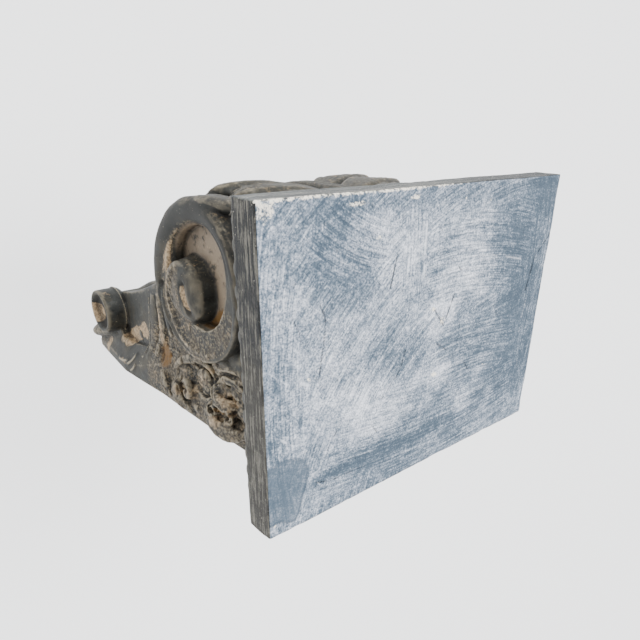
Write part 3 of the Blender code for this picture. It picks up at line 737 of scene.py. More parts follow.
# Fans of brush strokes on the slab's top. Strokes run in arcs round a centre, (along, back) in
# shares from the right-hand front corner, and towards a heading; a fan lies round its own place.
fans = [
    {"centre": (1.25, 1.25), "heading": (0.63, -0.78), "place": (0.35, 0.50), "reach": (9.0, 9.0)},
    {"centre": (0.82, 1.75), "heading": (1.0, 0.0), "place": (0.98, 0.24), "reach": (0.46, 0.20)},
    {"centre": (0.70, -2.60), "heading": (1.0, 0.0), "place": (0.80, 0.82), "reach": (0.75, 0.22)},
    {"centre": (2.60, 0.60), "heading": (0.0, 1.0), "place": (0.02, 0.50), "reach": (0.13, 0.60)},
    {"centre": (-1.20, 0.40), "heading": (0.0, 1.0), "place": (1.33, 0.45), "reach": (0.13, 0.70)},
    {"centre": (0.60, -0.45), "heading": (0.9, 0.4), "place": (0.30, 0.13), "reach": (0.18, 0.12)},
    {"centre": (-2.40, 0.30), "heading": (0.0, 1.0), "place": (0.58, 0.20), "reach": (0.07, 0.20)},
    {"centre": (0.90, 2.30), "heading": (1.0, 0.0), "place": (0.92, 0.60), "reach": (0.34, 0.16)},
]
slabMarks = {
    # along, back, half axes, strength: soft ellipses of lighter (above zero) or deeper paint; the
    # lighter ones over the middle are partly wear and partly a painted sheen
    "tones": [
        (0.62, 0.22, 0.36, 0.24, 0.14),
        (0.30, 0.52, 0.20, 0.14, 0.12),
        (0.50, 0.68, 0.34, 0.10, 0.15),
        (0.73, 0.42, 0.10, 0.06, 0.16),
        (0.73, 0.63, 0.09, 0.04, 0.14),
        (0.84, 0.34, 0.16, 0.07, 0.08),
        (0.90, 0.80, 0.05, 0.05, 0.10),
        (0.10, 0.30, 0.08, 0.12, 0.08),
        (0.17, 0.90, 0.10, 0.08, 0.06),
        (0.55, 0.865, 0.50, 0.030, -0.13),
        (0.95, 0.90, 0.30, 0.10, -0.02),
        (1.24, 0.40, 0.20, 0.60, -0.12),
        (1.10, 0.12, 0.20, 0.13, -0.05),
        (1.06, 0.14, 0.10, 0.09, -0.05),
        (0.33, 0.22, 0.09, 0.10, -0.12),
        (0.52, 0.56, 0.09, 0.05, -0.05),
        (0.60, 0.46, 0.06, 0.06, -0.04),
        (0.30, 0.86, 0.16, 0.02, -0.10),
        (0.19, 0.20, 0.05, 0.08, -0.08),
        (0.50, 0.03, 0.80, 0.03, -0.08),
        (1.30, 0.92, 0.14, 0.10, 0.05),
    ],
    # dark and pale scratches: points (along, back), half width in metres
    "dark": [
        ([(0.498, 0.187), (0.476, 0.287)], 0.0007),
        ([(0.798, 0.353), (0.764, 0.437)], 0.0007),
        ([(0.714, 0.198), (0.820, 0.281)], 0.0006),
        ([(0.687, 0.387), (0.753, 0.464)], 0.0006),
        ([(0.720, 0.520), (0.787, 0.564)], 0.0006),
        ([(0.292, 0.676), (0.231, 0.764)], 0.0005),
        ([(0.842, 0.453), (0.842, 0.576)], 0.0004),
        ([(1.278, 0.287), (1.250, 0.420)], 0.0014),
        ([(1.287, 0.287), (1.398, 0.176)], 0.0008),
        ([(0.198, 0.287), (0.220, 0.342), (0.203, 0.464), (0.192, 0.542)], 0.0008),
        ([(0.564, 0.509), (0.540, 0.580), (0.464, 0.660)], 0.0007),
        ([(0.16, 0.86), (0.26, 0.885), (0.40, 0.890)], 0.0007),
        ([(0.42, 0.735), (0.455, 0.785)], 0.0005),
        ([(0.10, 0.30), (0.13, 0.36)], 0.0004),
        ([(0.66, 0.10), (0.71, 0.15)], 0.0004),
        ([(1.04, 0.45), (1.10, 0.52)], 0.0005),
        ([(0.90, 0.64), (0.94, 0.69)], 0.0006),
    ],
    "pale": [
        ([(0.334, 0.909), (0.344, 1.02)], 0.0006),
        ([(0.787, 0.231), (1.02, 0.259), (1.176, 0.290)], 0.0011),
        ([(0.62, 0.11), (0.625, 0.26)], 0.0014),
        ([(0.19, 0.87), (0.27, 0.935), (0.42, 0.945)], 0.0007),
        ([(1.262, 0.46), (1.250, 0.60), (1.275, 0.76)], 0.0007),
        ([(0.16, 0.52), (0.12, 0.50)], 0.0016),
        ([(0.10, 0.70), (0.05, 0.66)], 0.0010),
        ([(0.30, 0.42), (0.42, 0.40), (0.52, 0.39)], 0.0006),
    ],
    # corners of the smooth spill of thicker paint
    "spill": [(-0.01, 0.752), (0.050, 0.735), (0.100, 0.742), (0.138, 0.765), (0.150, 0.800),
              (0.142, 0.850), (0.126, 0.890), (0.116, 0.940), (0.098, 0.968), (0.070, 0.965),
              (0.040, 0.945), (-0.01, 0.950)],
    # blots worn to white: along, back, half axes
    "blots": [
        (0.745, 0.440, 0.030, 0.030),
        (0.725, 0.640, 0.032, 0.022),
        (0.155, 0.500, 0.020, 0.012),
        (0.690, 0.395, 0.020, 0.015),
        (0.020, 0.955, 0.010, 0.010),
        (0.560, 0.028, 0.035, 0.014),
        (0.330, 0.030, 0.060, 0.014),
        (0.800, 0.048, 0.012, 0.008),
        (0.935, 0.062, 0.012, 0.006),
        (0.022, 0.020, 0.050, 0.060),
        (1.02, 0.68, 0.012, 0.008),
        (0.42, 0.13, 0.020, 0.012),
    ],
}


# Along and back on the slab, in shares, of points measured from its middle.
def slabShares(box, half):
    return (half[0] - box[:, 0]) / unit, (box[:, 1] + half[1]) / unit


# Distance from a place on the slab as a share of an ellipse's reach: 1 on its rim.
def ellipseShare(along, back, placeAlong, placeBack, wide, deep):
    return np.hypot((along - placeAlong) / wide, (back - placeBack) / deep)


# How much a fan counts: a soft ellipse round its place, its edge broken up by noise.
def fanShare(fan, box, along, back, seed):
    away = ellipseShare(along, back, *fan["place"], *fan["reach"])
    return 1 - smoothStep(0.60, 1.15, away + 0.22 * roughNoise(box, 0.030, 3, seed))


# Height of the brush marks: noise stretched along the arcs, each fan laid over the last.
def brushHeight(box, along, back):
    total = np.zeros(len(box))
    for k, fan in enumerate(fans):
        offset = np.stack([along - fan["centre"][0], back - fan["centre"][1]], -1) * unit
        run = offset @ np.array(fan["heading"])
        swept = np.column_stack([np.hypot(*offset.T) / slab["markWidth"], run / slab["markLength"],
                                 np.full(len(box), 7.3 * k)])
        share = fanShare(fan, box, along, back, 70 + k)
        total = total * (1 - share) + share * roughNoise(swept, 1.0, 2, 80 + k)
    return total


# Distance in metres inside the outline of the spill, below zero outside it.
def spillDepth(along, back):
    corners = np.array(slabMarks["spill"])
    place, inside = np.stack([along, back], -1), np.zeros(len(along), bool)
    nearest = np.full(len(along), np.inf)
    for a, b in zip(corners, np.roll(corners, -1, axis=0)):
        t = np.clip(((place - a) @ (b - a)) / ((b - a) @ (b - a)), 0, 1)
        nearest = np.minimum(nearest, np.hypot(*(place - a - t[:, None] * (b - a)).T))
        crossing = (a[1] > back) != (b[1] > back)
        inside ^= crossing & (along < a[0] + (back - a[1]) * (b[0] - a[0]) / (b[1] - a[1] + 1e-12))
    return np.where(inside, nearest, -nearest) * unit


# Gridded surface of a box, from its middle: the vertices, joined where the sides meet, and the
# faces. The bottom is one large face inside a narrow gridded rim, for it is flat and out of sight.
def griddedBox(half, pitch, rim):
    lines = [np.linspace(-h, h, max(4, int(round(2 * h / pitch)) + 1)) for h in half]
    vertices, faces, count, bottom = [], [], 0, None
    for axis in range(3):
        u, v = (axis + 1) % 3, (axis + 2) % 3
        a, b = np.meshgrid(lines[u], lines[v], indexing="ij")
        for end in (-1, 1):
            grid = np.zeros(a.shape + (3,))
            grid[..., axis], grid[..., u], grid[..., v] = end * half[axis], a, b
            rows, columns = a.shape
            i, j = np.meshgrid(np.arange(rows - 1), np.arange(columns - 1), indexing="ij")
            if axis == 2 and end < 0:
                kept = (np.minimum(i, rows - 2 - i) < rim) | (np.minimum(j, columns - 2 - j) < rim)
                i, j = i[kept], j[kept]
                m, n = np.arange(rim, rows - rim), np.arange(rim, columns - rim)
                bottom = np.concatenate([m[0] * columns + n, m[1:] * columns + n[-1],
                                         m[-1] * columns + n[-2::-1], m[-2:0:-1] * columns + n[0]]) + count
            quad = np.stack([i * columns + j, (i + 1) * columns + j, (i + 1) * columns + j + 1,
                             i * columns + j + 1], -1).reshape(-1, 4) + count
            faces.append(quad if end > 0 else quad[:, ::-1])
            vertices.append(grid.reshape(-1, 3))
            count += rows * columns
    quads = np.vstack(faces)
    vertices = np.vstack(vertices)
    used = np.union1d(quads, bottom)
    _, first, where = np.unique(np.round(vertices[used] * 1e6).astype(np.int64), axis=0,
                                return_index=True, return_inverse=True)
    renumber = np.zeros(len(vertices), np.int64)
    renumber[used] = where.ravel()
    return vertices[used][first], renumber[quads].tolist() + [renumber[bottom].tolist()]


# Rounded box: points of a gridded box are pulled in to a smaller box and pushed out again by
# the rounding along the way they came. Wear varies the rounding, and waves, grain, brush marks,
# scratches and the spill vary the surface.
def makeSlab():
    half = np.array([(high.x - low.x) / 2, unit / 2, slabThickness / 2])
    centre = np.array([0.0, -unit / 2, slabUnder + half[2]])
    box, faces = griddedBox(half, slab["pitch"] * (1), slab["rim"])
    along, back = slabShares(box, half)
    wear = smoothStep(0.1, 0.8, latticeNoise(box, 0.009, 5))
    wear += smoothStep(0.35, 0.8, latticeNoise(box, 0.030, 6))
    radius = (slab["rounding"] * (0.7 + 0.8 * wear))[:, None]
    inner = np.clip(box, radius - half, half - radius)
    gap = box - inner
    length = np.linalg.norm(gap, axis=1)[:, None]
    normal = gap / np.maximum(length, 1e-9)
    points = inner + normal * np.minimum(radius, length)
    upward = smoothStep(0.6, 0.9, normal[:, 2])
    push = roughNoise(box, 0.060, 3, 41) * slab["waviness"]
    push += roughNoise(box, 0.0045, 2, 51) * slab["grain"]
    push += brushHeight(box, along, back) * slab["brushDepth"] * upward
    scratches = markStrength(along, back, slabMarks["dark"]) * upward
    push -= slab["scratchDepth"] * scratches
    depth = spillDepth(along, back)
    spill = slab["spillHeight"] * smoothStep(-0.001, 0.002, depth) + slab["spillLip"] * bell(depth, 0.0015)
    push += spill * upward
    points += normal * push[:, None] + centre
    points[:, 1] = np.minimum(points[:, 1], 0.0)
    made = meshObject("slab", [(points, faces)])
    describeSlab(made.data, box, half, normal, scratches, depth)
    print("slab:", len(faces) * 2, "triangles")
    return made


# Strength of a set of scratches: a bell curve of the distance to each line, the largest taken.
def markStrength(along, back, lines):
    place, best = np.stack([along, back], -1), np.zeros(len(along))
    for line, width in lines:
        points = np.array(line)
        within = (place > points.min(0) - 0.03) & (place < points.max(0) + 0.03)
        near = np.flatnonzero(within.all(1))
        if len(near):
            away = strokeDistance(place[near], line)
            best[near] = np.maximum(best[near], bell(away, width))
    return best


# Attributes that the slab's paint reads: tone, the share of each fan of strokes, scratches,
# spill, the painted shade that deepens the front towards the -X end and the warmth of the flanks
# towards the back, how readily the paint chips, and which way the surface looks. Ellipses and
# bell curves of the distance, softened by smooth steps.
def describeSlab(mesh, box, half, normal, scratches, depth):
    along, back = slabShares(box, half)
    tone = 0.05 * roughNoise(box, 0.050, 3, 91)
    # The lighter ellipses over the middle are partly a painted sheen.
    for *ellipse, strength in slabMarks["tones"]:
        away = ellipseShare(along, back, *ellipse) + 0.20 * roughNoise(box, 0.022, 2, 93)
        tone += 0.7 * strength * (1 - smoothStep(0.20, 1.45, away))
    writeAttribute(mesh, "tone", tone)
    edgeNoise = roughNoise(box, 0.020, 3, 97)
    onFlank = np.abs(normal[:, 0]) > 0.5
    # On the flanks warmer towards the back; on the front painted shade, deeper towards the -X end.
    writeAttribute(mesh, "shadeAndWarmth", np.where(onFlank, smoothStep(0.32, 0.50, back + 0.06 * edgeNoise),
                                          smoothStep(0.55, 1.25, along + 0.10 * edgeNoise)))
    for k, fan in enumerate(fans[1:], 1):
        writeAttribute(mesh, f"fan{k}", fanShare(fan, box, along, back, 70 + k))
    broken = 0.4 + 0.6 * smoothStep(-0.5, 0.3, latticeNoise(box, 0.0040, 95))
    writeAttribute(mesh, "scratch", scratches * broken)
    writeAttribute(mesh, "paleScratch", markStrength(along, back, slabMarks["pale"]) * broken)
    writeAttribute(mesh, "spill", smoothStep(-0.0005, 0.0015, depth))
    writeAttribute(mesh, "spillRim", bell(depth, 0.0016))
    edge = np.minimum(along, 2 * half[0] / unit - along) * unit
    topGap = half[2] - box[:, 2]
    frontEdge = 1 - smoothStep(0.0006, 0.0044, np.hypot(back * unit, topGap))
    frontEdge *= 0.95 - 0.65 * smoothStep(0.60, 1.05, along)
    sideEdge = 0.42 * (1 - smoothStep(0.0004, 0.0030, np.hypot(edge, topGap)))
    blots = np.zeros(len(box))
    for ellipse in slabMarks["blots"]:
        blots = np.maximum(blots, 1 - smoothStep(0.2, 1.3, ellipseShare(along, back, *ellipse)))
    blots *= smoothStep(0.5, 0.8, normal[:, 2])
    writeAttribute(mesh, "chipping", np.maximum.reduce([frontEdge, sideEdge, blots]))
    writeAttribute(mesh, "flank", smoothStep(0.45, 0.80, np.abs(normal[:, 0])))
    writeAttribute(mesh, "facade", smoothStep(0.45, 0.80, -normal[:, 1]))
    writeAttribute(mesh, "rear", smoothStep(0.45, 0.80, normal[:, 1]))
    writeAttribute(mesh, "under", smoothStep(-0.45, -0.80, normal[:, 2]))


# metres, but for the number of levels; the band runs a little way up into the slab
gadroons = {"height": 0.018, "intoSlab": 0.002, "inset": 0.0047, "pitch": 0.0145, "relief": 0.0040,
            "taper": 0.0045, "step": 0.0009, "levels": 26, "clearOfWall": 0.0004}


# Band of gadroons: closed loops round the front and both sides, one for each height. The loop
# stands out by the relief times the height of an ellipsoid over each pitch along it, a little
# more or less from one gadroon to the next.
def makeBand():
    sideLength, frontLength = unit, high.x - low.x
    step = gadroons["step"] * 1
    rings = []
    for level in np.linspace(0, 1, gadroons["levels"]):
        z = slabUnder - gadroons["height"] * (1 - level) + gadroons["intoSlab"] * level
        inset = gadroons["inset"] + gadroons["taper"] * (1 - level) ** 2
        parts = []
        for way, length in ((0, sideLength), (1, frontLength), (2, sideLength)):
            along = np.linspace(0, 1, int(length / step), endpoint=False)
            count = round(length / gadroons["pitch"])
            across = 2 * (along * count % 1) - 1
            egg = np.sqrt(np.clip(1 - across**2 - ((level - 0.45) / 0.50) ** 2, 0, 1))
            which = np.floor(along * count)
            vary = 0.85 + 0.3 * np.abs(np.sin(which * 12.9898 + way * 4.1))
            depth = inset + gadroons["relief"] * (1 - egg * vary)
            half = frontLength / 2
            if way == 0:
                parts.append(np.stack([half - depth, -along * (sideLength - depth)], -1))
            elif way == 1:
                parts.append(np.stack([(half - inset) * (1 - 2 * along), -sideLength + depth], -1))
            else:
                parts.append(np.stack([depth - half, -(1 - along) * (sideLength - depth)], -1))
        loop = np.vstack(parts)
        loop[:, 1] = np.minimum(loop[:, 1], -gadroons["clearOfWall"])
        rings.append(np.column_stack([loop, np.full(len(loop), z)]))
    made = meshObject("gadroon_band", [shellOf(rings)])
    print("band:", len(made.data.polygons) * 2, "triangles")
    return made


# Surface with its detail ironed out: each vertex goes halfway to the mean of its neighbours, again
# and again.
def ironed(mesh, points, rounds):
    edges = np.empty(len(mesh.edges) * 2, np.int32)
    mesh.edges.foreach_get("vertices", edges)
    a, b = edges.reshape(-1, 2).T
    degree = np.bincount(a, minlength=len(points)) + np.bincount(b, minlength=len(points))
    flat = points.copy()
    for _ in range(rounds):
        for axis in range(3):
            total = np.bincount(a, flat[b, axis], len(points)) + np.bincount(b, flat[a, axis], len(points))
            flat[:, axis] = 0.5 * flat[:, axis] + 0.5 * total / np.maximum(degree, 1)
    return flat


def writeAttribute(mesh, name, values):
    layer = mesh.attributes.new(name, "FLOAT", "POINT")
    layer.data.foreach_set("value", np.asarray(values, np.float32))


# Patches of colour on the side: centre (down, out), half axes, turn in degrees, strength. Paint
# has kept on the patches of that name, in the middle of the bare ones.
patches = {
    "bare": [((1.410, 0.820), (0.185, 0.044), 22, 1.0), ((1.285, 0.765), (0.060, 0.050), 10, 1.0),
             ((1.440, 0.860), (0.070, 0.030), 30, 0.9), ((1.700, 0.765), (0.070, 0.060), 0, 1.0),
             ((1.700, 0.950), (0.030, 0.060), -25, 0.9), ((0.680, 0.452), (0.062, 0.024), 104, 1.0),
             ((0.672, 0.800), (0.070, 0.050), 0, 0.50), ((0.836, 0.815), (0.050, 0.030), 0, 0.50),
             ((0.470, 0.820), (0.080, 0.050), 0, 0.6), ((0.560, 0.930), (0.080, 0.040), 0, 0.6),
             ((0.740, 0.880), (0.050, 0.050), 0, 0.55), ((0.860, 0.900), (0.060, 0.030), 0, 0.6),
             ((1.040, 0.700), (0.018, 0.150), 4, 0.75), ((1.440, 0.952), (0.060, 0.016), -8, 0.6),
             ((0.620, 0.740), (0.030, 0.020), 0, 0.7), ((0.380, 0.900), (0.050, 0.030), 0, 0.5),
             ((1.060, 0.475), (0.014, 0.030), 0, 0.8)],
    "kept": [((1.340, 0.800), (0.026, 0.024), 0, 1.0), ((1.352, 0.812), (0.030, 0.010), 40, 0.8)],
    # The next patches are darker patches of painted shade: on the volutes' bands towards the front, by the
    # eyes, on the neck and over the tail.
    "paintedShade": [((0.420, 0.200), (0.150, 0.150), 0, 0.9), ((0.620, 0.110), (0.180, 0.070), 0, 0.9),
             ((0.820, 0.190), (0.170, 0.085), 28, 0.9), ((1.450, 0.960), (0.200, 0.060), 0, 0.6),
             ((1.160, 0.640), (0.050, 0.160), 0, 0.5), ((0.668, 0.440), (0.056, 0.090), 0, 0.8)],
    "ochre": [((1.020, 0.805), (0.066, 0.066), 0, 0.75), ((0.500, 0.872), (0.100, 0.018), 8, 0.65),
              ((0.800, 0.895), (0.026, 0.016), 0, 0.45), ((0.430, 0.820), (0.020, 0.018), 0, 0.5)],
}


# Strength of a set of patches: each a soft ellipse, the largest one taken at every vertex.
def patchStrength(shares, spots):
    best = np.zeros(len(shares))
    for centre, axes, turn, strength in spots:
        a = math.radians(turn)
        d, o = (shares - np.array(centre)).T
        along, across = d * math.cos(a) + o * math.sin(a), o * math.cos(a) - d * math.sin(a)
        reach = np.hypot(along / axes[0], across / axes[1])
        best = np.maximum(best, strength * (1 - smoothStep(0.55, 1.15, reach)))
    return best


# Attributes that the paint reads: hollow and crease from how far the surface lies below its
# ironed copies, and on the sides patches, worn slopes and straps of the volutes, the inside of
# their hollows with its stain, sandy places and pale lines.
def describeScroll(mesh):
    points = readVertices(mesh)
    normals = readVertices(mesh, "vector")
    shares = sideShares(points)
    fine = np.einsum("ij,ij->i", ironed(mesh, points, 6) - points, normals)
    broad = np.einsum("ij,ij->i", ironed(mesh, points, 60) - points, normals)
    writeAttribute(mesh, "hollow", np.clip(broad / 0.0022, -1, 1))
    writeAttribute(mesh, "crease", np.clip(fine / 0.00050, -1, 1))
    sideways = smoothStep(0.070, 0.082, np.abs(points[:, 0]))
    down, out = (shares - voluteCentre).T
    radius, angle = np.hypot(down, out), np.degrees(np.arctan2(out, down))
    reach, band, inner, _, strap, strength = voluteAt(angle)
    sloping = smoothStep(-110, -75, angle) * (1 - smoothStep(-5, 25, angle))
    sloping *= smoothStep(-0.01, 0.0, radius - inner)
    sloping *= 1 - smoothStep(-0.010, 0.006, radius - reach + band)
    onStrap = strength * bell(radius - strap, volute["strapWidth"])
    outside = smoothStep(0.1005, 0.1030, np.abs(points[:, 0]))
    rubbed = np.maximum(0.8 * sloping, 0.55 * onStrap) * outside
    bare = np.maximum(patchStrength(shares, patches["bare"]), rubbed)
    writeAttribute(mesh, "bare", bare * sideways * (1 - patchStrength(shares, patches["kept"])))
    # Darker patches of painted shade.
    writeAttribute(mesh, "paintedShade", patchStrength(shares, patches["paintedShade"]) * sideways)
    inside = (1 - smoothStep(0.196, 0.210, radius)) * (1 - smoothStep(0.0990, 0.1025, np.abs(points[:, 0])))
    onEye = 1 - smoothStep(0.126, 0.142, np.hypot(*(shares - eyeCentre).T))
    writeAttribute(mesh, "inside", inside * (1 - onEye) * sideways)
    stain = smoothStep(40, 70, angle) * (1 - smoothStep(178, 185, angle)) * smoothStep(0.115, 0.165, radius)
    ochre = patchStrength(shares, patches["ochre"])
    writeAttribute(mesh, "ochre", np.maximum(ochre, stain * inside * (1 - onEye)) * sideways)
    writeAttribute(mesh, "sandy", sandyShare(points, normals))
    front = smoothStep(0.35, 0.75, -normals[:, 1]) * (1 - smoothStep(0.60, 0.90, shares[:, 1]))
    writeAttribute(mesh, "front", front)
    lines = [bell(strokeDistance(shares, line), width) for line, width in carving["paleLines"]]
    across = np.hypot(*(shares - rollCentre).T) * unit
    ridge = bell(np.abs(points[:, 0]) - roll["ringPlace"], 0.0012)
    ridge *= smoothStep(roll["radius"], roll["ringRadius"], across) * (1 - smoothStep(0.028, 0.030, across))
    writeAttribute(mesh, "paleLine", np.maximum(np.maximum.reduce(lines), 0.8 * ridge) * sideways)


def hexColour(code):                   # sRGB hex to the linear values that shaders take
    parts = [int(code[i:i + 2], 16) / 255 for i in (1, 3, 5)]
    return (*[c / 12.92 if c <= 0.04045 else ((c + 0.055) / 1.055) ** 2.4 for c in parts], 1.0)


def tonesOf(paint):                    # the colours among a paint's values, made linear
    return {name: hexColour(value) for name, value in paint.items() if isinstance(value, str)}


# Adds one node: its settings, then its inputs, each a value or an output socket to link from.
def addNode(tree, kind, settings=None, inputs=None):
    node = tree.nodes.new(kind)
    for name, value in (settings or {}).items():
        setattr(node, name, value)
    for name, value in (inputs or {}).items():
        if isinstance(value, bpy.types.NodeSocket):
            tree.links.new(value, node.inputs[name])
        else:
            node.inputs[name].default_value = value
    return node


multiply = {"operation": "MULTIPLY"}
multiplyAdd = {"operation": "MULTIPLY_ADD"}


def newMaterial(name):
    material = bpy.data.materials.new(name)
    material.use_nodes = True
    return material, material.node_tree, material.node_tree.nodes["Principled BSDF"]


# Noise with its feature size in millimetres, stretched along an axis where asked.
def noiseField(tree, sizeMm, detail, rough, stretch=(1, 1, 1)):
    place = addNode(tree, "ShaderNodeTexCoord").outputs["Object"]
    place = addNode(tree, "ShaderNodeMapping", None, {"Vector": place, "Scale": stretch}).outputs[0]
    inputs = {"Vector": place, "Scale": 1000 / sizeMm, "Detail": detail, "Roughness": rough}
    return addNode(tree, "ShaderNodeTexNoise", None, inputs).outputs["Fac"]


# A coat of paint: its mask, stretched between two limits, lays a tone over what is below it.
def coat(tree, below, tone, mask, start, end, strength=1.0):
    limits = {0: mask, 1: start, 2: end, 3: 0.0, 4: strength}
    amount = addNode(tree, "ShaderNodeMapRange", {"interpolation_type": "SMOOTHSTEP"}, limits).outputs[0]
    return addNode(tree, "ShaderNodeMix", {"data_type": "RGBA"}, {0: amount, 6: below, 7: tone}).outputs[2]


# The near-black laid in the hollows and creases is painted shade together with grime.
oldPaint = {"paint": "#2b2c2a", "paintDark": "#161716", "paintWarm": "#37342c", "plaster": "#a08a6c",
            "plasterDark": "#6a5a46", "sand": "#403a30", "sandLight": "#645b4b", "sandDark": "#221e19",
            "recess": "#786b5b", "ochre": "#5a401a", "shadeAndGrime": "#0a0807",
            "sheen": "#5a5c59", "cream": "#a69b85", "roughness": 0.60, "specular": 0.20}


# Distemper over cast plaster: dull, dark warm grey where it holds, sandy where the cast is
# coarse, cream plaster where it is worn through, near-black in the hollows and creases, grime
# with painted shade, darker patches of painted shade, and ochre stain where damp has come through.
def scrollMaterial():
    material, tree, shader = newMaterial("worn distemper on cast plaster")
    tone = tonesOf(oldPaint)
    names = ["hollow", "crease", "bare", "paintedShade", "sandy", "inside", "ochre", "front", "paleLine"]
    mask = {name: addNode(tree, "ShaderNodeAttribute", {"attribute_name": name}).outputs["Fac"]
            for name in names}
    blotch = noiseField(tree, 26, 4, 0.6)
    mottle = noiseField(tree, 9, 6, 0.70)
    speck = noiseField(tree, 2.4, 4, 0.62)
    dots = noiseField(tree, 1.6, 2, 0.5)
    colour = coat(tree, tone["paint"], tone["paintWarm"], blotch, 0.42, 0.62)
    colour = coat(tree, colour, tone["paintDark"], mottle, 0.50, 0.70, 0.8)
    colour = coat(tree, colour, tone["sheen"], mottle, 0.46, 0.34, 0.22)
    # Painted shade: the darker patches go towards the dark paint.
    colour = coat(tree, colour, tone["paintDark"], mask["paintedShade"], 0.0, 1.0, 0.8)
    colour = coat(tree, colour, tone["cream"], dots, 0.70, 0.76, 0.6)
    colour = coat(tree, colour, tone["cream"], mask["crease"], -0.45, -1.0, 0.22)
    sand = coat(tree, tone["sand"], tone["paint"], blotch, 0.44, 0.60)
    sand = coat(tree, sand, tone["sandLight"], speck, 0.50, 0.62)
    sand = coat(tree, sand, tone["sandDark"], speck, 0.48, 0.36)
    sand = coat(tree, sand, tone["plaster"], mottle, 0.56, 0.72, 0.55)
    sand = coat(tree, sand, tone["cream"], mask["crease"], -0.35, -1.0, 0.45)
    rubbed = addNode(tree, "ShaderNodeMath", multiplyAdd, {0: speck, 1: 0.5, 2: mask["sandy"]})
    colour = coat(tree, colour, sand, rubbed.outputs[0], 0.35, 0.85)
    flecks = addNode(tree, "ShaderNodeMath", multiply, {0: mottle, 1: mask["front"]})
    colour = coat(tree, colour, tone["plaster"], flecks.outputs[0], 0.58, 0.70, 0.5)
    recess = coat(tree, tone["recess"], tone["paint"], mottle, 0.50, 0.68)
    recess = coat(tree, recess, tone["plaster"], speck, 0.56, 0.72, 0.5)
    colour = coat(tree, colour, recess, mask["inside"], 0.0, 1.0, 0.9)
    damp = addNode(tree, "ShaderNodeMath", multiplyAdd, {0: mottle, 1: 0.9, 2: mask["ochre"]})
    # Painted shade with grime: the broad hollows are darkened towards near-black.
    colour = coat(tree, colour, tone["shadeAndGrime"], mask["hollow"], 0.40, 1.1, 0.35)
    plaster = coat(tree, tone["plasterDark"], tone["plaster"], speck, 0.38, 0.62)
    plaster = coat(tree, plaster, tone["cream"], mottle, 0.52, 0.70, 0.7)
    worn = addNode(tree, "ShaderNodeMath", multiplyAdd, {0: mottle, 1: 1.1, 2: mask["bare"]})
    colour = coat(tree, colour, plaster, worn.outputs[0], 0.98, 1.32)
    colour = coat(tree, colour, tone["ochre"], damp.outputs[0], 0.75, 1.30)
    colour = coat(tree, colour, tone["cream"], mask["paleLine"], 0.25, 0.95, 0.60)
    # Painted shade with grime: the creases are darkened towards near-black.
    colour = coat(tree, colour, tone["shadeAndGrime"], mask["crease"], 0.40, 1.0, 0.60)
    tree.links.new(colour, shader.inputs["Base Color"])
    shader.inputs["Roughness"].default_value = oldPaint["roughness"]
    shader.inputs["Specular IOR Level"].default_value = oldPaint["specular"]
    height = addNode(tree, "ShaderNodeMath", multiply, {0: speck, 1: mask["sandy"]}).outputs[0]
    height = addNode(tree, "ShaderNodeMath", multiplyAdd, {0: mottle, 1: 0.25, 2: height}).outputs[0]
    inputs = {"Strength": 0.7, "Distance": 0.0012, "Height": height}
    bump = addNode(tree, "ShaderNodeBump", None, inputs).outputs[0]
    tree.links.new(bump, shader.inputs["Normal"])
    return material


# The flank and facade tones are the top's paint in painted shade; the top's blue-grey is partly a painted
# daylight tint.
slabPaint = {"deep": "#3d4b59", "base": "#5c6a78", "light": "#8b94a1", "pale": "#eceef6",
             "flank": "#0a0d10", "flankWarm": "#22201b", "flankStreak": "#6a675e", "facade": "#2b2f31",
             "facadeLight": "#62645f", "facadeDeep": "#15191d", "chip": "#f3ebdc", "spill": "#4b5967",
             "scratch": "#1b242d", "rear": "#85725a",
             "roughness": 0.55, "specular": 0.22, "strokeWidthMm": 1.7, "strokeLengthMm": 40}


# Bristle marks of one fan: noise over the distance from the fan's centre and the way along it.
def brushed(tree, fan, seed):
    centre = (high.x - fan["centre"][0] * unit, low.y + fan["centre"][1] * unit, high.z)
    place = addNode(tree, "ShaderNodeTexCoord").outputs["Object"]
    inputs = {0: place, 1: centre}
    offset = addNode(tree, "ShaderNodeVectorMath", {"operation": "SUBTRACT"}, inputs).outputs[0]
    away = addNode(tree, "ShaderNodeVectorMath", {"operation": "LENGTH"}, {0: offset}).outputs["Value"]
    inputs = {0: offset, 1: (-fan["heading"][0], fan["heading"][1], 0)}
    run = addNode(tree, "ShaderNodeVectorMath", {"operation": "DOT_PRODUCT"}, inputs).outputs["Value"]
    swept = addNode(tree, "ShaderNodeCombineXYZ", None, {"X": away, "Y": run, "Z": 0.05 * seed}).outputs[0]
    scale = (1000 / slabPaint["strokeWidthMm"], 1000 / slabPaint["strokeLengthMm"], 1000)
    swept = addNode(tree, "ShaderNodeMapping", None, {"Vector": swept, "Scale": scale}).outputs[0]
    inputs = {"Vector": swept, "Scale": 1.0, "Detail": 4.0, "Roughness": 0.66, "Distortion": 0.35}
    return addNode(tree, "ShaderNodeTexNoise", None, inputs).outputs["Fac"]
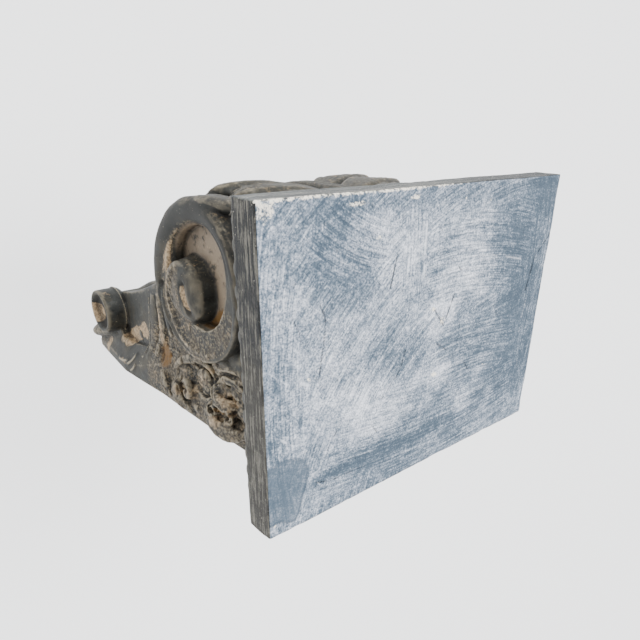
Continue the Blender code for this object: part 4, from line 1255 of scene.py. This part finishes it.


# Distemper brushed on the slab's flat top in fans of bristle marks, its blue-grey partly a painted
# daylight tint, paler in the middle with wear and a painted sheen, scratched, and chipped white along
# the front edge. Its front, sides and underside are darker copies of the same paint, painted shade,
# the sides streaked lengthwise where the paint has rubbed off, and its back is old bare plaster.
def slabMaterial():
    material, tree, shader = newMaterial("brushed distemper on slab")
    tone = tonesOf(slabPaint)
    names = ["tone", "shadeAndWarmth", "scratch", "paleScratch", "spill", "spillRim", "chipping", "flank", "facade",
             "under", "rear"] + [f"fan{k}" for k in range(1, len(fans))]
    mask = {name: addNode(tree, "ShaderNodeAttribute", {"attribute_name": name}).outputs["Fac"]
            for name in names}
    stroke = brushed(tree, fans[0], 0)
    for k, fan in enumerate(fans[1:], 1):
        inputs = {0: mask[f"fan{k}"], 2: stroke, 3: brushed(tree, fan, k)}
        stroke = addNode(tree, "ShaderNodeMix", {"data_type": "FLOAT"}, inputs).outputs[0]
    cloud = noiseField(tree, 16, 8, 0.72)
    scumble = noiseField(tree, 4.0, 8, 0.85)
    speck = noiseField(tree, 1.5, 3, 0.6)
    grain = noiseField(tree, 1.3, 4, 0.75)
    value = mask["tone"]
    for part, share in ((stroke, 0.66), (cloud, 0.35), (scumble, 0.60), (grain, 0.80)):
        inputs = {0: part, 1: share, 2: value}
        value = addNode(tree, "ShaderNodeMath", multiplyAdd, inputs).outputs[0]
    colour = coat(tree, tone["deep"], tone["base"], value, 1.02, 1.20)
    colour = coat(tree, colour, tone["light"], value, 1.13, 1.31)
    colour = coat(tree, colour, tone["pale"], value, 1.22, 1.56)
    nicks = noiseField(tree, 3.2, 6, 0.7, (1, 0.4, 1))
    colour = coat(tree, colour, tone["scratch"], nicks, 0.40, 0.30, 0.60)
    colour = coat(tree, colour, tone["scratch"], speck, 0.36, 0.28, 0.6)
    colour = coat(tree, colour, tone["chip"], scumble, 0.64, 0.74, 0.5)
    colour = coat(tree, colour, tone["spill"], mask["spill"], 0.0, 1.0, 0.65)
    colour = coat(tree, colour, tone["deep"], mask["spillRim"], 0.2, 1.0, 0.7)
    colour = coat(tree, colour, tone["scratch"], mask["scratch"], 0.12, 0.65, 0.85)
    colour = coat(tree, colour, tone["pale"], mask["paleScratch"], 0.25, 1.0, 0.55)
    # The flanks: a near-black copy of the top's paint, painted shade, warmer towards the back, then
    # streaked and flecked.
    streak = noiseField(tree, 1.5, 6, 0.75, (1, 0.045, 1))
    flank = coat(tree, tone["flank"], tone["flankWarm"], mask["shadeAndWarmth"], 0.0, 1.0)
    streak = addNode(tree, "ShaderNodeMath", multiplyAdd, {0: cloud, 1: 0.5, 2: streak}).outputs[0]
    flank = coat(tree, flank, tone["flankStreak"], streak, 0.74, 0.88, 0.85)
    flank = coat(tree, flank, tone["chip"], speck, 0.69, 0.73, 0.6)
    colour = coat(tree, colour, flank, mask["flank"], 0.2, 0.8)
    # The front: a dark copy of the top's paint, painted shade, deepening towards the -X end.
    smear = noiseField(tree, 3.0, 6, 0.72, (0.10, 1, 1))
    facade = coat(tree, tone["facade"], tone["facadeLight"], smear, 0.44, 0.62)
    facade = coat(tree, facade, tone["facadeDeep"], mask["shadeAndWarmth"], 0.0, 1.0, 0.8)
    facade = coat(tree, facade, tone["chip"], speck, 0.66, 0.72, 0.7)
    colour = coat(tree, colour, facade, mask["facade"], 0.2, 0.8)
    # The underside takes the front's dark tone, painted shade as well.
    colour = coat(tree, colour, tone["facade"], mask["under"], 0.2, 0.8)
    rear = coat(tree, tone["rear"], tone["chip"], cloud, 0.45, 0.9, 0.5)
    colour = coat(tree, colour, rear, mask["rear"], 0.2, 0.8)
    chips = addNode(tree, "ShaderNodeMath", multiplyAdd, {0: mask["chipping"], 1: 0.36, 2: scumble})
    colour = coat(tree, colour, tone["chip"], chips.outputs[0], 0.80, 0.86)
    tree.links.new(colour, shader.inputs["Base Color"])
    shader.inputs["Roughness"].default_value = slabPaint["roughness"]
    shader.inputs["Specular IOR Level"].default_value = slabPaint["specular"]
    height = addNode(tree, "ShaderNodeMath", multiplyAdd, {0: grain, 1: 0.6, 2: stroke}).outputs[0]
    inputs = {"Strength": 0.8, "Distance": 0.0020, "Height": height}
    bump = addNode(tree, "ShaderNodeBump", None, inputs).outputs[0]
    tree.links.new(bump, shader.inputs["Normal"])
    return material


# A piece's paint, its shading, smooth up to an angle, and its place in the part.
def finishPiece(made, material, sharpDegrees):
    made.data.materials.clear()
    made.data.materials.append(material)
    made.data.shade_smooth()
    made.data.set_sharp_from_angle(angle=math.radians(sharpDegrees))
    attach(made, "root")
    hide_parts("corbel")


scrollPaint = scrollMaterial()
scrollPiece = makeScroll()
describeScroll(scrollPiece.data)
finishPiece(scrollPiece, scrollPaint, 70)
bandPiece = makeBand()
describeScroll(bandPiece.data)
finishPiece(bandPiece, scrollPaint, 60)
slabPiece = makeSlab()
finishPiece(slabPiece, slabMaterial(), 60)
print("pieces made")

studio = {"floorSize": 40.0, "floorDrop": 0.25, "floor": "#f6f6f6", "roughness": 0.9, "world": 0.9}


def makeStudio():
    half, z = studio["floorSize"] / 2, low.z - studio["floorDrop"]
    corners = [(-half, -half, z), (half, -half, z), (half, half, z), (-half, half, z)]
    floor = meshObject("floor", [(corners, [(0, 1, 2, 3)])])
    material, _, shader = newMaterial("pale matt floor")
    shader.inputs["Base Color"].default_value = hexColour(studio["floor"])
    shader.inputs["Roughness"].default_value = studio["roughness"]
    floor.data.materials.append(material)
    world = bpy.data.worlds.new("studio")
    world.use_nodes = True
    background = world.node_tree.nodes["Background"]
    background.inputs["Color"].default_value = (1.0, 1.0, 1.0, 1.0)
    background.inputs["Strength"].default_value = studio["world"]
    bpy.context.scene.world = world


# Lamps: a soft sun (strength, angle in degrees) and an area lamp (power, size in metres), each
# placed and turned to the middle of the corbel.
lamps = [
    {"name": "key", "kind": "SUN", "place": (-0.30, -0.62, 0.95), "strength": 8.0, "spread": 60,
     "colour": (0.97, 0.985, 1.0)},
    {"name": "fill", "kind": "AREA", "place": (1.60, -0.30, 0.70), "strength": 8, "spread": 1.2,
     "colour": (1.0, 0.97, 0.92)},
]


def addLamps():
    for lamp in lamps:
        light = bpy.data.lights.new(lamp["name"], lamp["kind"])
        if lamp["kind"] == "SUN":
            light.angle = math.radians(lamp["spread"])
        else:
            light.shape, light.size = "DISK", lamp["spread"]
        light.energy = lamp["strength"]
        light.color = lamp["colour"]
        made = bpy.data.objects.new(lamp["name"], light)
        made.location = lamp["place"]
        target = (low + high) / 2
        made.rotation_euler = (target - made.location).to_track_quat("-Z", "Y").to_euler()
        bpy.context.scene.collection.objects.link(made)


# Place in metres, the directions of its right, its top and its back, and its lens and shifts.
camera = {"place": (0.3224, -0.2618, 0.4111), "right": (-0.7460, -0.0228, 0.6655),
          "up": (-0.2833, -0.8936, -0.3482), "back": (0.6027, -0.4483, 0.6602),
          "lens": 32.57, "shiftX": -0.0391, "shiftY": 0.1281}


def addCamera():
    data = bpy.data.cameras.new("camera")
    data.lens, data.sensor_width = camera["lens"], 36.0
    data.shift_x, data.shift_y = camera["shiftX"], camera["shiftY"]
    data.clip_start = 0.01
    made = bpy.data.objects.new("camera", data)
    axes = Matrix((camera["right"], camera["up"], camera["back"])).transposed()
    made.matrix_world = Matrix.Translation(camera["place"]) @ axes.to_4x4()
    bpy.context.scene.collection.objects.link(made)
    bpy.context.scene.camera = made


makeStudio()
addLamps()
addCamera()
print("studio made")
